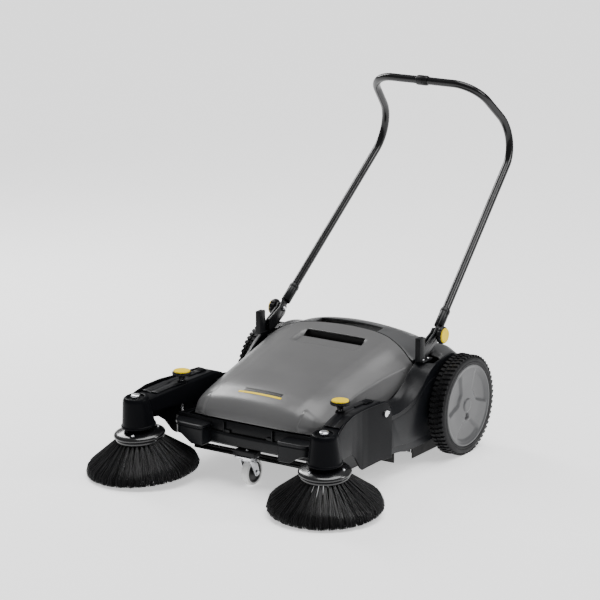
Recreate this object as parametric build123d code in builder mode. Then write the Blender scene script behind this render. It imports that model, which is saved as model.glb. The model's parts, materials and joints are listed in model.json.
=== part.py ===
"""Walk-behind sweeper: two side brushes on arms, a main roller between the wheels,
a lift-off waste container under the grey hood and a fold-down push handle.
Millimetres, +Z up, travel towards -Y, origin on the floor under the middle of the machine."""
from build123d import *
import os
from math import atan2, cos, degrees, radians, sin

os.makedirs("parts", exist_ok=True)

# ---------------------------------------------------------------- driving dimensions
wheel_r = 142.0                      # tyre radius
wheel_y = 181.0                      # wheel axle, behind the middle
tyre_in, tyre_out = 304.0, 352.0     # tyre faces from the centre plane
rim_r = 118.0                        # tyre seat
axle_r = 10.0
running_gap = 0.05                   # radial clearance of every shaft in its bore

gear_module = 3.0
ring_teeth, pinion_teeth = 64, 16
roller_r = 124.0
roller_y, roller_z = 111.0, 125.0    # roller axis: the pinion meshes with the wheel's ring gear
shaft_r = 8.0
roller_half = 238.0

belt_r = 3.0                         # round drive belt
pulley_r = 16.0                      # belt centre line on the drive and pivot pulleys
head_pulley_r = 20.0
belt_gap = 0.5
first_belt_x, second_belt_x = 272.0, 284.0

pivot_y, pivot_z = -200.0, 207.0     # side brush arm pivot
pivot_pin_r = 6.0
arm_in, arm_out = 248.0, 310.0       # arm housing faces
wall = 4.0

brush_x, brush_y, brush_z = 302.0, -483.5, 32.0   # centre of the bristle rim
brush_r = 158.0
lean_forward, lean_out = 5.2, 2.2    # tilt of the brush spindle in degrees
knob_x, knob_y = 262.0, -351.0       # side brush height knob

bin_half = 228.0                     # waste container
tub_front_x, tub_rear_x = 233.0, 246.0
panel_in, panel_out = 290.0, 296.0
floor_gap = 60.0

handle_r = 11.5
hinge_x, hinge_y, hinge_z = 262.0, 143.0, 346.0
bend = (217.5, 678.0, 818.0)
corner = (176.5, 493.0, 994.0)
bend_r, corner_r = 100.0, 87.0

caster_y, caster_r = -390.0, 37.5
caster_pivot_y = -410.0


# ---------------------------------------------------------------- helpers
def write(piece, name):
    """Label a finished piece and write its STEP file."""
    piece.part.label = name
    export_step(piece.part, f"parts/{name}.step")


def write_sides(piece, name):
    """Write the piece made on the left (+X) and its mirror image on the right."""
    with BuildPart() as twin:
        mirror(piece.part, about=Plane.YZ)
    write(piece, f"{name}_left")
    write(twin, f"{name}_right")


def both_sides(piece):
    """Add the mirror image to a piece that is one node on both sides."""
    with BuildPart() as pair:
        add(piece.part)
        mirror(piece.part, about=Plane.YZ)
    return pair


def across(x, y=0.0, z=0.0):
    """Plane square to the axles at distance x, local x towards +Y and local y up."""
    return Plane((x, y, z), x_dir=(0, 1, 0), z_dir=(1, 0, 0))


def towards(start, end):
    """Plane at start that faces end."""
    return Plane(origin=start, z_dir=Vector(*end) - Vector(*start))


def drum(plane, radius, length, bore=0.0):
    """Add a cylinder, or a tube where bore is given, from the plane onwards."""
    with BuildSketch(plane) as disc:
        Circle(radius)
        if bore:
            Circle(bore, mode=Mode.SUBTRACT)
    extrude(disc.sketch, amount=length)


def block(x0, x1, y0, y1, z0, z1, mode=Mode.ADD):
    """Add or cut a box given by its lowest and highest corners."""
    with Locations(((x0 + x1) / 2, (y0 + y1) / 2, (z0 + z1) / 2)):
        Box(abs(x1 - x0), abs(y1 - y0), abs(z1 - z0), mode=mode)


def toothed(plane, teeth, tip_r, root_r, length, share=0.40, turn=0.0):
    """Add straight-flanked teeth between root_r and tip_r around the plane's axis."""
    pitch_angle = 360.0 / teeth
    sign = 1 if tip_r > root_r else -1
    seat_r = root_r - sign * 0.6
    low, high = 0.5 * (share + 0.1) * pitch_angle, 0.5 * (share - 0.14) * pitch_angle

    def at(radius, angle):
        return (radius * cos(radians(angle)), radius * sin(radians(angle)))

    with BuildSketch(plane) as gear_teeth:
        for i in range(teeth):
            mid = turn + i * pitch_angle
            Polygon(at(seat_r, mid - low), at(tip_r, mid - high),
                    at(tip_r, mid + high), at(seat_r, mid + low), align=None)
    extrude(gear_teeth.sketch, amount=length)


def groove_cut(plane, centre_r, room=1.2):
    """Cut a square belt groove for the round belt, centred on the plane, with room at each side."""
    half = belt_r + room
    with BuildSketch(plane.offset(-half)) as ring:
        Circle(centre_r + 12)
        Circle(centre_r - belt_r - belt_gap, mode=Mode.SUBTRACT)
    extrude(ring.sketch, amount=2 * half, mode=Mode.SUBTRACT)


# ---------------------------------------------------------------- wheels
axle_plane = across(0, wheel_y, wheel_r)

with BuildPart() as tyre:
    drum(axle_plane.offset(tyre_in), wheel_r, tyre_out - tyre_in, rim_r + 0.1)
    chamfer(tyre.edges().filter_by(GeomType.CIRCLE).group_by(SortBy.RADIUS)[-1], 7)
write_sides(tyre, "tyre")

hub_bore = axle_r + running_gap
with BuildPart() as wheel_rim:
    drum(axle_plane.offset(tyre_in + 2), rim_r, 44, rim_r - 4)
    drum(axle_plane.offset(345), rim_r, 7.5)
    drum(axle_plane.offset(tyre_in + 3), 22, 39, hub_bore)
    with BuildSketch(axle_plane.offset(330)):
        for spoke in range(6):
            with Locations(Location((0, 0), spoke * 60)):
                with Locations((68, 0)):
                    Rectangle(95, 5)
    extrude(amount=16)
write_sides(wheel_rim, "wheel_rim")

ring_pitch_r = gear_module * ring_teeth / 2
pinion_pitch_r = gear_module * pinion_teeth / 2
to_pinion = degrees(atan2(roller_z - wheel_r, roller_y - wheel_y))
with BuildPart() as ring_gear:
    drum(axle_plane.offset(306), 113.9, 14, ring_pitch_r + 4.0)
    toothed(axle_plane.offset(306), ring_teeth, ring_pitch_r - 2.6, ring_pitch_r + 4.0, 14,
            turn=to_pinion + 180.0 / ring_teeth)
write_sides(ring_gear, "ring_gear")

with BuildPart() as stub_axle:
    drum(axle_plane.offset(252), axle_r, 92)
write(both_sides(stub_axle), "wheel_axles")

# ---------------------------------------------------------------- main roller and its drive
roller_plane = across(0, roller_y, roller_z)

with BuildPart() as roller_shaft:
    drum(roller_plane.offset(-322), shaft_r, 644)
write(roller_shaft, "roller_shaft")

with BuildPart() as roller_core:
    drum(roller_plane.offset(-roller_half + 2), 55, 2 * roller_half - 4, shaft_r)
write(roller_core, "roller_core")

with BuildPart() as roller_bristles:
    drum(roller_plane.offset(-roller_half), roller_r, 2 * roller_half, 55)
write(roller_bristles, "roller_bristles")

with BuildPart() as drive_pinion:
    drum(roller_plane.offset(262), 11, 45)
    drum(roller_plane.offset(first_belt_x - 6), pulley_r + 2.5, 12)
    drum(roller_plane.offset(307), pinion_pitch_r - 3.9, 12)
    toothed(roller_plane.offset(307), pinion_teeth, pinion_pitch_r + 2.6, pinion_pitch_r - 3.9, 12,
            turn=to_pinion)
    groove_cut(roller_plane.offset(first_belt_x), pulley_r)
    with BuildSketch(roller_plane.offset(262)):
        Circle(shaft_r + running_gap)
    extrude(amount=60, mode=Mode.SUBTRACT)
write_sides(drive_pinion, "drive_pinion")

with BuildPart() as roller_bush:
    drum(roller_plane.offset(tub_rear_x - 4), 14, 12, shaft_r + running_gap)
write(both_sides(roller_bush), "roller_bushes")

pivot_plane = across(0, pivot_y, pivot_z)
with BuildPart() as pivot_pulley:
    drum(pivot_plane.offset(first_belt_x - 7), pulley_r + 2.5, 26)
    groove_cut(pivot_plane.offset(first_belt_x), pulley_r)
    groove_cut(pivot_plane.offset(second_belt_x), pulley_r, 1.8)
    with BuildSketch(pivot_plane.offset(first_belt_x - 8)):
        Circle(pivot_pin_r + running_gap)
    extrude(amount=30, mode=Mode.SUBTRACT)
write_sides(pivot_pulley, "pivot_pulley")

with BuildPart() as arm_pivot_pin:
    drum(pivot_plane.offset(tub_front_x + 2), pivot_pin_r, 77)
    drum(pivot_plane.offset(arm_out + 0.8), 9, 5)
write(both_sides(arm_pivot_pin), "arm_pivot_pins")

# First belt: a loop in one plane from the roller's drive pulley to the pivot pulley.
rise = degrees(atan2(pivot_z - roller_z, pivot_y - roller_y))
with BuildPart() as drive_belt:
    with BuildSketch(Plane((first_belt_x, 0, 0), x_dir=(0, 1, 0), z_dir=(1, 0, 0)).offset(-belt_r)):
        with BuildLine():
            side = Vector(-sin(radians(rise)), cos(radians(rise)))
            near = Vector(roller_y, roller_z)
            far = Vector(pivot_y, pivot_z)
            reach = far - near
            ahead = reach.normalized()
            outer = pulley_r + belt_r
            Line(near + side * outer, far + side * outer)
            ThreePointArc(far + side * outer, far + ahead * outer, far - side * outer)
            Line(far - side * outer, near - side * outer)
            ThreePointArc(near - side * outer, near - ahead * outer, near + side * outer)
        make_face()
        offset(amount=-2 * belt_r, mode=Mode.SUBTRACT)
    extrude(amount=2 * belt_r)
write(both_sides(drive_belt), "drive_belts")

# ---------------------------------------------------------------- side brush heads
spindle_dir = Vector(sin(radians(lean_out)), -sin(radians(lean_forward)),
                     cos(radians(lean_out)) * cos(radians(lean_forward)))
head = Plane(origin=(brush_x, brush_y, brush_z), x_dir=(1, 0, 0), z_dir=spindle_dir)


def head_turned(*points):
    """Revolve an (r, h) outline about the brush spindle; h is measured up from the bristle rim."""
    upright = Plane(origin=head.origin, x_dir=head.x_dir, z_dir=head.x_dir.cross(head.z_dir))
    with BuildSketch(upright) as outline:
        Polygon(*points, align=None)
    revolve(outline.sketch, axis=Axis(head.origin, head.z_dir))


with BuildPart() as brush_bristles:
    head_turned((30, 79), (62, 79), (brush_r, 2), (brush_r - 2, -12), (brush_r - 22, -12), (30, 68))
write_sides(brush_bristles, "brush_bristles")

with BuildPart() as brush_plate:
    head_turned((shaft_r, 79.2), (64, 79.2), (66, 84), (72, 86), (72, 92), (66, 96), (52, 99),
                (44, 104), (30, 106), (30, 109), (shaft_r, 109))
write_sides(brush_plate, "brush_plate")

with BuildPart() as brush_spindle:
    drum(head.offset(76), shaft_r, 126)
    drum(head.offset(199.5), 13, 7)
    drum(head.offset(173), head_pulley_r + 2.5, 14)
    groove_cut(head.offset(180), head_pulley_r, 2.5)
write_sides(brush_spindle, "brush_spindle")

# ---------------------------------------------------------------- side brush arms
arm_top = [(-172, 233), (-205, 241), (-345, 241), (-392, 236), (-500, 224)]
arm_foot = [(-500, 178), (-172, 178)]


def arm_body(inset, height_inset):
    """Add the arm beam: its plan outline pulled up, kept where the side outline allows."""
    with BuildSketch(Plane.XY.offset(150)) as plan:
        Polygon((arm_in + inset, -172), (arm_in + inset, -340), (278 + inset, -500),
                (341 - inset, -492), (arm_out - inset, -330), (arm_out - inset, -172), align=None)
    extrude(plan.sketch, amount=110)
    with BuildSketch(across(arm_in - 10)) as side_view:
        Polygon(*[(y, z - height_inset) for y, z in arm_top], *arm_foot, align=None)
    extrude(side_view.sketch, amount=130, mode=Mode.INTERSECT)


with BuildPart() as arm_beam:
    arm_body(0, 0)
with BuildPart() as arm_hollow:
    arm_body(wall, wall)

with BuildPart() as arm_housing:
    add(arm_beam.part)
    head_turned((0, 112), (47, 112), (46, 116), (35, 197), (0, 197))
    add(arm_hollow.part, mode=Mode.SUBTRACT)
    block(arm_in + wall, arm_out - wall, -340, -170, 170, 182, mode=Mode.SUBTRACT)
    with BuildSketch(across(arm_out - wall)):
        Polygon((-164, 74), (-164, 176), (-172, 190), (-300, 182), (-440, 182), (-440, 150), (-398, 142),
                (-372, 139), (-345, 118), (-330, 88), (-240, 80), align=None)
    extrude(amount=wall)
    with BuildSketch(Plane(head.origin + head.z_dir * 118, x_dir=head.x_dir, z_dir=head.z_dir)):
        Circle(42)
    extrude(amount=73, taper=7.4, mode=Mode.SUBTRACT)
    with BuildSketch(head.offset(110)):
        Circle(shaft_r + running_gap)
    extrude(amount=90, mode=Mode.SUBTRACT)
    with BuildSketch(across(arm_in - 1, pivot_y, pivot_z)):
        Circle(pivot_pin_r + running_gap)
    extrude(amount=80, mode=Mode.SUBTRACT)
    with Locations(Plane((knob_x, knob_y, 196))):
        Cylinder(9, 42, align=(Align.CENTER, Align.CENTER, Align.MIN))
        Cylinder(4 + running_gap, 60, align=(Align.CENTER, Align.CENTER, Align.MIN), mode=Mode.SUBTRACT)
write_sides(arm_housing, "arm_housing")

with BuildPart() as arm_cover:
    with BuildSketch(Plane.XY.offset(200)):
        Polygon((arm_in + 3, -208), (arm_in + 3, -340), (268, -440), (316, -440), (arm_out - 3, -330),
                (arm_out - 3, -208), align=None)
    extrude(amount=60)
    with BuildSketch(across(arm_in - 10)):
        Polygon((-209, 241.1), (-345, 241.1), (-392, 236.1), (-450, 229.7), (-450, 232.7), (-392, 239.1),
                (-345, 244.1), (-209, 244.1), align=None)
    extrude(amount=130, mode=Mode.INTERSECT)
    with Locations((knob_x, knob_y, 240)):
        Cylinder(7, 30, mode=Mode.SUBTRACT)
write_sides(arm_cover, "arm_cover")

# Second belt: from the pivot pulley it takes a quarter turn to the upright head pulley.
head_pulley = head.offset(180)
inner_tangent = head_pulley.origin - head_pulley.x_dir * head_pulley_r
outer_tangent = head_pulley.origin + head_pulley.x_dir * head_pulley_r
top_tangent = Vector(second_belt_x, pivot_y, pivot_z + pulley_r)
low_tangent = Vector(second_belt_x, pivot_y, pivot_z - pulley_r)
with BuildPart() as side_brush_belt:
    for start, end in ((top_tangent, inner_tangent), (low_tangent, outer_tangent)):
        drum(towards(start, end), belt_r, (end - start).length)
    with Locations(*[Location(p) for p in (top_tangent, low_tangent, inner_tangent, outer_tangent)]):
        Sphere(belt_r)
    with BuildSketch(Plane(top_tangent, x_dir=(1, 0, 0), z_dir=(0, -1, 0))):
        Circle(belt_r)
    revolve(axis=Axis((second_belt_x, pivot_y, pivot_z), (-1, 0, 0)), revolution_arc=180)
    with BuildSketch(Plane(inner_tangent, x_dir=head.x_dir, z_dir=head.z_dir.cross(head.x_dir))):
        Circle(belt_r)
    revolve(axis=Axis(head_pulley.origin, head.z_dir), revolution_arc=180)
write_sides(side_brush_belt, "side_brush_belt")

with BuildPart() as height_spindle:
    drum(Plane.XY.offset(150).shift_origin((knob_x, knob_y, 150)), 4, 105)
write_sides(height_spindle, "height_spindle")

with BuildPart() as height_knob:
    drum(Plane((knob_x, knob_y, 250)), 9, 13, 4)
    drum(Plane((knob_x, knob_y, 262)), 27.5, 10)
    with BuildSketch(Plane((knob_x, knob_y, 262))):
        with PolarLocations(29, 12):
            Circle(4)
    extrude(amount=10, mode=Mode.SUBTRACT)
write_sides(height_knob, "height_knob")

with BuildPart() as height_knob_cap:
    drum(Plane((knob_x, knob_y, 272)), 23.5, 4)
    fillet(height_knob_cap.edges().sort_by(Axis.Z)[-1], 2)
write_sides(height_knob_cap, "height_knob_cap")

# ---------------------------------------------------------------- waste container
# Half sections of the hood from the middle out to the shoulder and down the side, by distance y.
hood_sections = {
    -414: [(0, 186), (88, 184.5), (134, 182), (160, 179), (176, 175.5), (182, 172)],
    -406: [(0, 205), (90, 203), (140, 199), (170, 192), (190, 182), (196, 176)],
    -384: [(0, 232), (90, 229), (140, 221), (178, 206), (202, 186), (206, 174)],
    -339: [(0, 252), (90, 249), (140, 241), (180, 226), (212, 198), (218, 168)],
    -214: [(0, 279), (95, 277), (135, 273), (179, 260), (215, 238), (229, 180)],
    -94: [(0, 304), (100, 303), (140, 300), (182, 290), (227, 261), (244, 198)],
    26: [(0, 331), (100, 331), (150, 329), (198, 316), (244, 278), (255, 246)],
    96: [(0, 347), (100, 347), (150, 343), (200, 329), (248, 291), (256, 266)],
}
seam = [(-254, 44), (-200, 56), (-150, 70), (-100, 84), (0, 94), (100, 84), (150, 70), (200, 56), (254, 44)]
hood_wall = 3.5


def section_loft(sections, inset, drop):
    """Add the solid through the mirrored half sections, drawn in by inset and, at the foot, by drop."""
    faces = []
    for y, half in sections.items():
        foot_x, foot_z = half[-1]
        shape = [(x - inset * x / foot_x, z - inset) for x, z in half[:-1]]
        shape.append((foot_x - inset, foot_z - drop))
        with BuildSketch(Plane.XZ.offset(-y)) as section:
            Polygon(*shape, *[(-x, z) for x, z in reversed(shape[1:])], align=None)
        faces.append(section.sketch)
    loft(sections=faces, ruled=True)


with BuildPart() as hood_outer:
    section_loft(hood_sections, 0, 0)
    with BuildSketch(Plane.XY.offset(150)):
        with BuildLine():
            Polyline(*seam, (262, -450), (-262, -450), close=True)
        make_face()
    extrude(amount=250, mode=Mode.INTERSECT)
with BuildPart() as hood_inner:
    nose_inside = {y + hood_wall if y < -400 else y: half for y, half in hood_sections.items()}
    section_loft(nose_inside, hood_wall, 1)

with BuildPart() as container_hood:
    add(hood_outer.part)
    add(hood_inner.part, mode=Mode.SUBTRACT)
    with Locations((0, 24, 330)):
        Box(200, 26, 80, mode=Mode.SUBTRACT)
write(container_hood, "container_hood")

bin_outline = [(-394, 160), (-394, 112), (-302, 64), (-44, 64), (-38, 120), (-12, 190)]
bin_floor_wall = 3.0
with BuildPart() as container_bin:
    with BuildSketch(across(-bin_half)):
        Polygon(*bin_outline, align=None)
    extrude(amount=2 * bin_half)
    with BuildSketch(across(-bin_half + bin_floor_wall)):
        Polygon((-391, 200), (-391, 113.5), (-301, 67), (-46.5, 67), (-41, 121), (-12, 196), align=None)
    extrude(amount=2 * (bin_half - bin_floor_wall), mode=Mode.SUBTRACT)
write(container_bin, "container_bin")

# ---------------------------------------------------------------- chassis
with BuildPart() as chassis_tub:
    for side in (-1, 1):
        for x, outline in ((tub_front_x, [(-402, 172), (-402, 116), (-306, floor_gap), (-160, floor_gap),
                                          (-160, 164), (-330, 164)]),
                           (tub_rear_x, [(-164, floor_gap), (250, floor_gap), (250, 172), (-164, 172)])):
            with BuildSketch(across(side * x)):
                Polygon(*outline, align=None)
            extrude(amount=side * wall)
        block(side * tub_front_x, side * (tub_rear_x + wall), -164, -160, floor_gap, 164)
        block(side * (tub_front_x + 2), side * (tub_front_x + 11), -216, -184, 150, 219)
        block(side * tub_front_x, side * 274, -363, -339, 136, 148)
        block(side * (tub_rear_x + wall), side * panel_in, 246, 250, floor_gap, 172)
        block(side * (tub_rear_x + wall), side * panel_in, -60, -56, floor_gap, 100)
    block(-tub_front_x, tub_front_x, -402, -398, 116, 172)
    block(-tub_rear_x, tub_rear_x, 246, 250, floor_gap, 250)
    for y0, y1 in ((-330, -306), (-300, -292), (-36, -28)):
        block(-tub_front_x - wall, tub_front_x + wall, y0, y1, 50, 56)
    for side in (-1, 1):
        block(side * tub_front_x, side * (tub_front_x + wall), -330, -160, 50, 64)
        block(side * tub_front_x, side * (tub_rear_x + wall), -164, -28, 50, floor_gap)
        with BuildSketch(across(side * (tub_rear_x + wall), wheel_y, wheel_r)):
            Circle(20)
        extrude(amount=side * (panel_in - tub_rear_x - wall))
        for centre, radius in (((wheel_y, wheel_r), axle_r), ((roller_y, roller_z), 14),
                               ((pivot_y, pivot_z), pivot_pin_r)):
            with BuildSketch(across(side * 230, *centre)):
                Circle(radius)
            extrude(amount=side * 60, mode=Mode.SUBTRACT)
    block(-35, 35, -402, -396, 90, 120)
    block(-35, 35, -430, -398, 90, 104)
    with Locations((0, caster_pivot_y, 90)):
        Cylinder(5.05, 40, mode=Mode.SUBTRACT)
write(chassis_tub, "chassis_tub")

with BuildPart() as front_bumper:
    with BuildSketch(Plane.XY.offset(108)):
        Polygon((-121, -411), (-60, -416), (0, -417), (60, -416), (121, -411), (121, -402.5), (-121, -402.5),
                align=None)
    extrude(amount=32)
    with BuildSketch(Plane.XY.offset(104)):
        for side in (-1, 1):
            Polygon((side * 121, -402.5), (side * 121, -445), (side * 128, -449), (side * 178, -446),
                    (side * 195, -432), (side * 195, -402.5), align=None)
    extrude(amount=56)
    chamfer(front_bumper.edges().filter_by(Axis.X).group_by(Axis.Z)[-1], 3)
    for x in (-80, 80):
        block(x - 1.5, x + 1.5, -412, -402.5, 140, 168)
    block(-35.5, 35.5, -431, -390, 100, 104.5, mode=Mode.SUBTRACT)
write(front_bumper, "front_bumper")

# The fender falls from an inner line beside the hood to an outer line over the side panel.
fender_outer = [(-160, 184), (-142, 182), (-77, 187), (-24, 203), (13, 228), (55, 262), (87, 277)]
fender_middle = [(-160, 222), (-142, 218), (-99, 209), (-27, 230), (6, 252), (34, 274), (46, 282)]
fender_inner = [(-160, 222), (-142, 219), (-99, 214), (-27, 246), (6, 272), (34, 288), (46, 290)]
with BuildPart() as side_panel:
    for x, line in ((262, fender_inner), (278, fender_middle), (298, fender_outer)):
        with BuildSketch(across(x)):
            Polygon(*line, *[(y, z - 3.5) for y, z in reversed(line)], align=None)
    loft(ruled=True)
    with BuildSketch(across(panel_in)):
        Polygon((-160, 68), (-105, 74), (-96, 62), (-40, 60), (60, 60), (140, floor_gap), (250, floor_gap),
                (300, 120), (300, 230), (250, 268), (180, 288), (110, 280), (87, 277), (55, 262), (13, 228),
                (-24, 203), (-77, 187), (-142, 182), (-160, 184), align=None)
    extrude(amount=panel_out - panel_in)
    for centre, radius in (((wheel_y, wheel_r), axle_r), ((roller_y, roller_z), 12.5)):
        with BuildSketch(across(panel_in - 1, *centre)):
            Circle(radius)
        extrude(amount=8, mode=Mode.SUBTRACT)
write_sides(side_panel, "side_panel")

cover_sections = {
    40: [(0, 340), (100, 340), (150, 336), (200, 322), (248, 286), (289, 268), (289, 250)],
    94: [(0, 348), (100, 346), (150, 339), (200, 321), (248, 298), (289, 282), (289, 250)],
    150: [(0, 350), (100, 343), (150, 333), (200, 316), (249, 304), (289, 288), (289, 250)],
    235: [(0, 318), (100, 311), (150, 302), (200, 293), (250, 288), (289, 264), (289, 200)],
    282: [(0, 270), (100, 266), (150, 260), (200, 252), (250, 238), (289, 214), (289, 120)],
    296: [(0, 200), (100, 198), (150, 194), (200, 188), (250, 178), (289, 160), (289, 80)],
}

with BuildPart() as cover_outer:
    section_loft(cover_sections, 0, 0)
    with BuildSketch(Plane.XY.offset(70)):
        with BuildLine():
            Polyline(*[(x, y + 1.5) for x, y in seam], (300, 46), (300, 310), (-300, 310), (-300, 46),
                     close=True)
        make_face()
    extrude(amount=300, mode=Mode.INTERSECT)
with BuildPart() as cover_inner:
    tail_inside = {y - hood_wall if y > 290 else y: half for y, half in cover_sections.items()}
    section_loft(tail_inside, hood_wall, 0)

with BuildPart() as rear_cover:
    add(cover_outer.part)
    add(cover_inner.part, mode=Mode.SUBTRACT)
    for side in (-1, 1):
        block(side * 246, side * 300, 20, 126, 200, 400, mode=Mode.SUBTRACT)
    with Locations((0, 100, 350)):
        Box(210, 38, 60, mode=Mode.SUBTRACT)
write(rear_cover, "rear_cover")

with BuildPart() as roller_housing:
    with BuildSketch(across(-tub_front_x - wall, roller_y, roller_z)):
        with BuildLine():
            low, mid, high = (
                [(r * cos(radians(a)), r * sin(radians(a))) for r in (131, 134)] for a in (-29, 40, 112))
            ThreePointArc(low[0], mid[0], high[0])
            Line(high[0], high[1])
            ThreePointArc(high[1], mid[1], low[1])
            Line(low[1], low[0])
        make_face()
    extrude(amount=2 * (tub_front_x + wall))
write(roller_housing, "roller_housing")

with BuildPart() as side_skirt:
    block(tub_rear_x + wall, tub_rear_x + wall + 3, 40, 240, 5, floor_gap + 18)
write(both_sides(side_skirt), "side_skirts")

with BuildPart() as sealing_lips:
    block(-tub_front_x, tub_front_x, -28, -25, 6, 56)
    block(-tub_rear_x + 2, tub_rear_x - 2, 250, 253, 5, 90)
write(sealing_lips, "sealing_lips")

# ---------------------------------------------------------------- push handle
hinge_plane = across(0, hinge_y, hinge_z)
leg_rise = degrees(atan2(bend[2] - hinge_z, bend[1] - hinge_y))
leg_dir = Vector(bend[0] - hinge_x, bend[1] - hinge_y, bend[2] - hinge_z).normalized()
leg_start = Vector(hinge_x, hinge_y, hinge_z) + leg_dir * 30

ear = [(hinge_y - 18, hinge_z + 8), (hinge_y - 6, hinge_z + 19), (hinge_y + 12, hinge_z + 15),
       (hinge_y + 18, hinge_z), (hinge_y + 6, hinge_z - 18), (96, 297), (88, 290)]
with BuildPart() as handle_bracket:
    with BuildSketch(across(254)):
        Polygon((70, 294), (70, 330), *ear, align=None)
    extrude(amount=5)
    with BuildSketch(across(265)):
        Polygon((34, 294), (34, 358), (62, 358), (66, 322), *ear, align=None)
    extrude(amount=5)
    block(262, 278, 34, 60, 294, 358)
    block(260, 288, 34, 84, 290.5, 296)
    block(254, 270, 70, 86, 290.5, 312)
    with BuildSketch(hinge_plane.offset(250)):
        Circle(4 + running_gap)
    extrude(amount=30, mode=Mode.SUBTRACT)
write(both_sides(handle_bracket), "handle_brackets")

with BuildPart() as handle_socket:
    with BuildSketch(towards(leg_start, Vector(hinge_x, hinge_y, hinge_z) + leg_dir * 90)):
        Circle(handle_r + 2.5)
        Circle(handle_r, mode=Mode.SUBTRACT)
    extrude(amount=52)
    with BuildSketch(towards(leg_start - leg_dir * 3, Vector(hinge_x, hinge_y, hinge_z) + leg_dir * 90)):
        Circle(handle_r + 2.5)
    extrude(amount=5)
    with BuildSketch(across(259.4)):
        with Locations((hinge_y, hinge_z)):
            Circle(16)
        with Locations(Location((hinge_y, hinge_z), leg_rise)):
            with Locations((16, 0)):
                Rectangle(32, 27)
    extrude(amount=5.2)
    with BuildSketch(hinge_plane.offset(250)):
        Circle(4 + running_gap)
    extrude(amount=30, mode=Mode.SUBTRACT)
write(both_sides(handle_socket), "handle_sockets")

with BuildPart() as handle_tube:
    with BuildLine():
        path = FilletPolyline(leg_start + leg_dir * 2.2, bend, corner, (0.2, corner[1], corner[2]),
                              radius=(bend_r, corner_r))
    with BuildSketch(Plane(origin=path @ 0, z_dir=path % 0)):
        Circle(handle_r)
        Circle(handle_r - 1.5, mode=Mode.SUBTRACT)
    sweep()
write_sides(handle_tube, "handle_tube")

with BuildPart() as handle_sleeve:
    drum(across(-19, corner[1], corner[2]), handle_r + 3, 38, handle_r)
    with BuildSketch(across(4, corner[1], corner[2])):
        Circle(handle_r + 4)
        Circle(handle_r + 1.8, mode=Mode.SUBTRACT)
    extrude(amount=3, mode=Mode.SUBTRACT)
write(handle_sleeve, "handle_sleeve")

with BuildPart() as clamp_knob:
    drum(hinge_plane.offset(247), 4, 35)
    drum(hinge_plane.offset(247), 7, 6.5)
    drum(hinge_plane.offset(270.5), 11, 8)
    drum(hinge_plane.offset(277), 25, 15)
    with BuildSketch(hinge_plane.offset(277)):
        with PolarLocations(27, 8):
            Circle(5)
    extrude(amount=15, mode=Mode.SUBTRACT)
write_sides(clamp_knob, "clamp_knob")

with BuildPart() as clamp_knob_cap:
    drum(hinge_plane.offset(292), 21, 4)
write_sides(clamp_knob_cap, "clamp_knob_cap")

# ---------------------------------------------------------------- front caster
with BuildPart() as caster_plate:
    block(-27, 27, -434, -386, 85.5, 89.5)
    drum(Plane((0, caster_pivot_y, 80.5)), 17, 5.5)
    with Locations((0, caster_pivot_y, 85)):
        Cylinder(5 + running_gap, 20, mode=Mode.SUBTRACT)
    for x in (-20, 20):
        for y in (-428, -392):
            drum(Plane((x, y, 83)), 5, 2.5)
write(caster_plate, "caster_plate")

with BuildPart() as caster_fork:
    drum(Plane((0, caster_pivot_y, 76)), 5, 30)
    drum(Plane((0, caster_pivot_y, 76)), 17, 3.8)
    with BuildSketch(across(-18.5)):
        Polygon((caster_pivot_y - 14, 80), (caster_y - 8, 30), (caster_y, 27), (caster_y + 8, 30),
                (caster_y + 9, 44), (caster_pivot_y + 16, 80), align=None)
    extrude(amount=37)
    block(-15.5, 15.5, -450, -340, 0, 77, mode=Mode.SUBTRACT)
    with BuildSketch(across(-20, caster_y, caster_r)):
        Circle(4)
    extrude(amount=40, mode=Mode.SUBTRACT)
write(caster_fork, "caster_fork")

with BuildPart() as caster_bolt:
    drum(across(-22, caster_y, caster_r), 4, 44)
    for x in (-22.5, 18.5):
        drum(across(x, caster_y, caster_r), 7, 4)
write(caster_bolt, "caster_bolt")

with BuildPart() as caster_wheel:
    drum(across(-11, caster_y, caster_r), caster_r - 8, 22, 4 + running_gap)
    drum(across(-14, caster_y, caster_r), 10, 28, 4 + running_gap)
write(caster_wheel, "caster_wheel")

with BuildPart() as caster_tyre:
    drum(across(-11, caster_y, caster_r), caster_r, 22, caster_r - 8)
    chamfer(caster_tyre.edges().filter_by(GeomType.CIRCLE).group_by(SortBy.RADIUS)[-1], 3)
write(caster_tyre, "caster_tyre")
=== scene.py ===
"""Walk-behind sweeper: the looks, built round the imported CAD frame.

Lengths are millimetres until piece() scales them to metres. The machine travels towards -y, its left side
is at +x and it stands on z = 0. Pieces that come in pairs are made for the left side and mirrored."""
import json
from math import cos, pi, radians, sin, tau

import bmesh
import bpy
import numpy as np
from mathutils import Matrix, Vector
from mathutils.bvhtree import BVHTree


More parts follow.
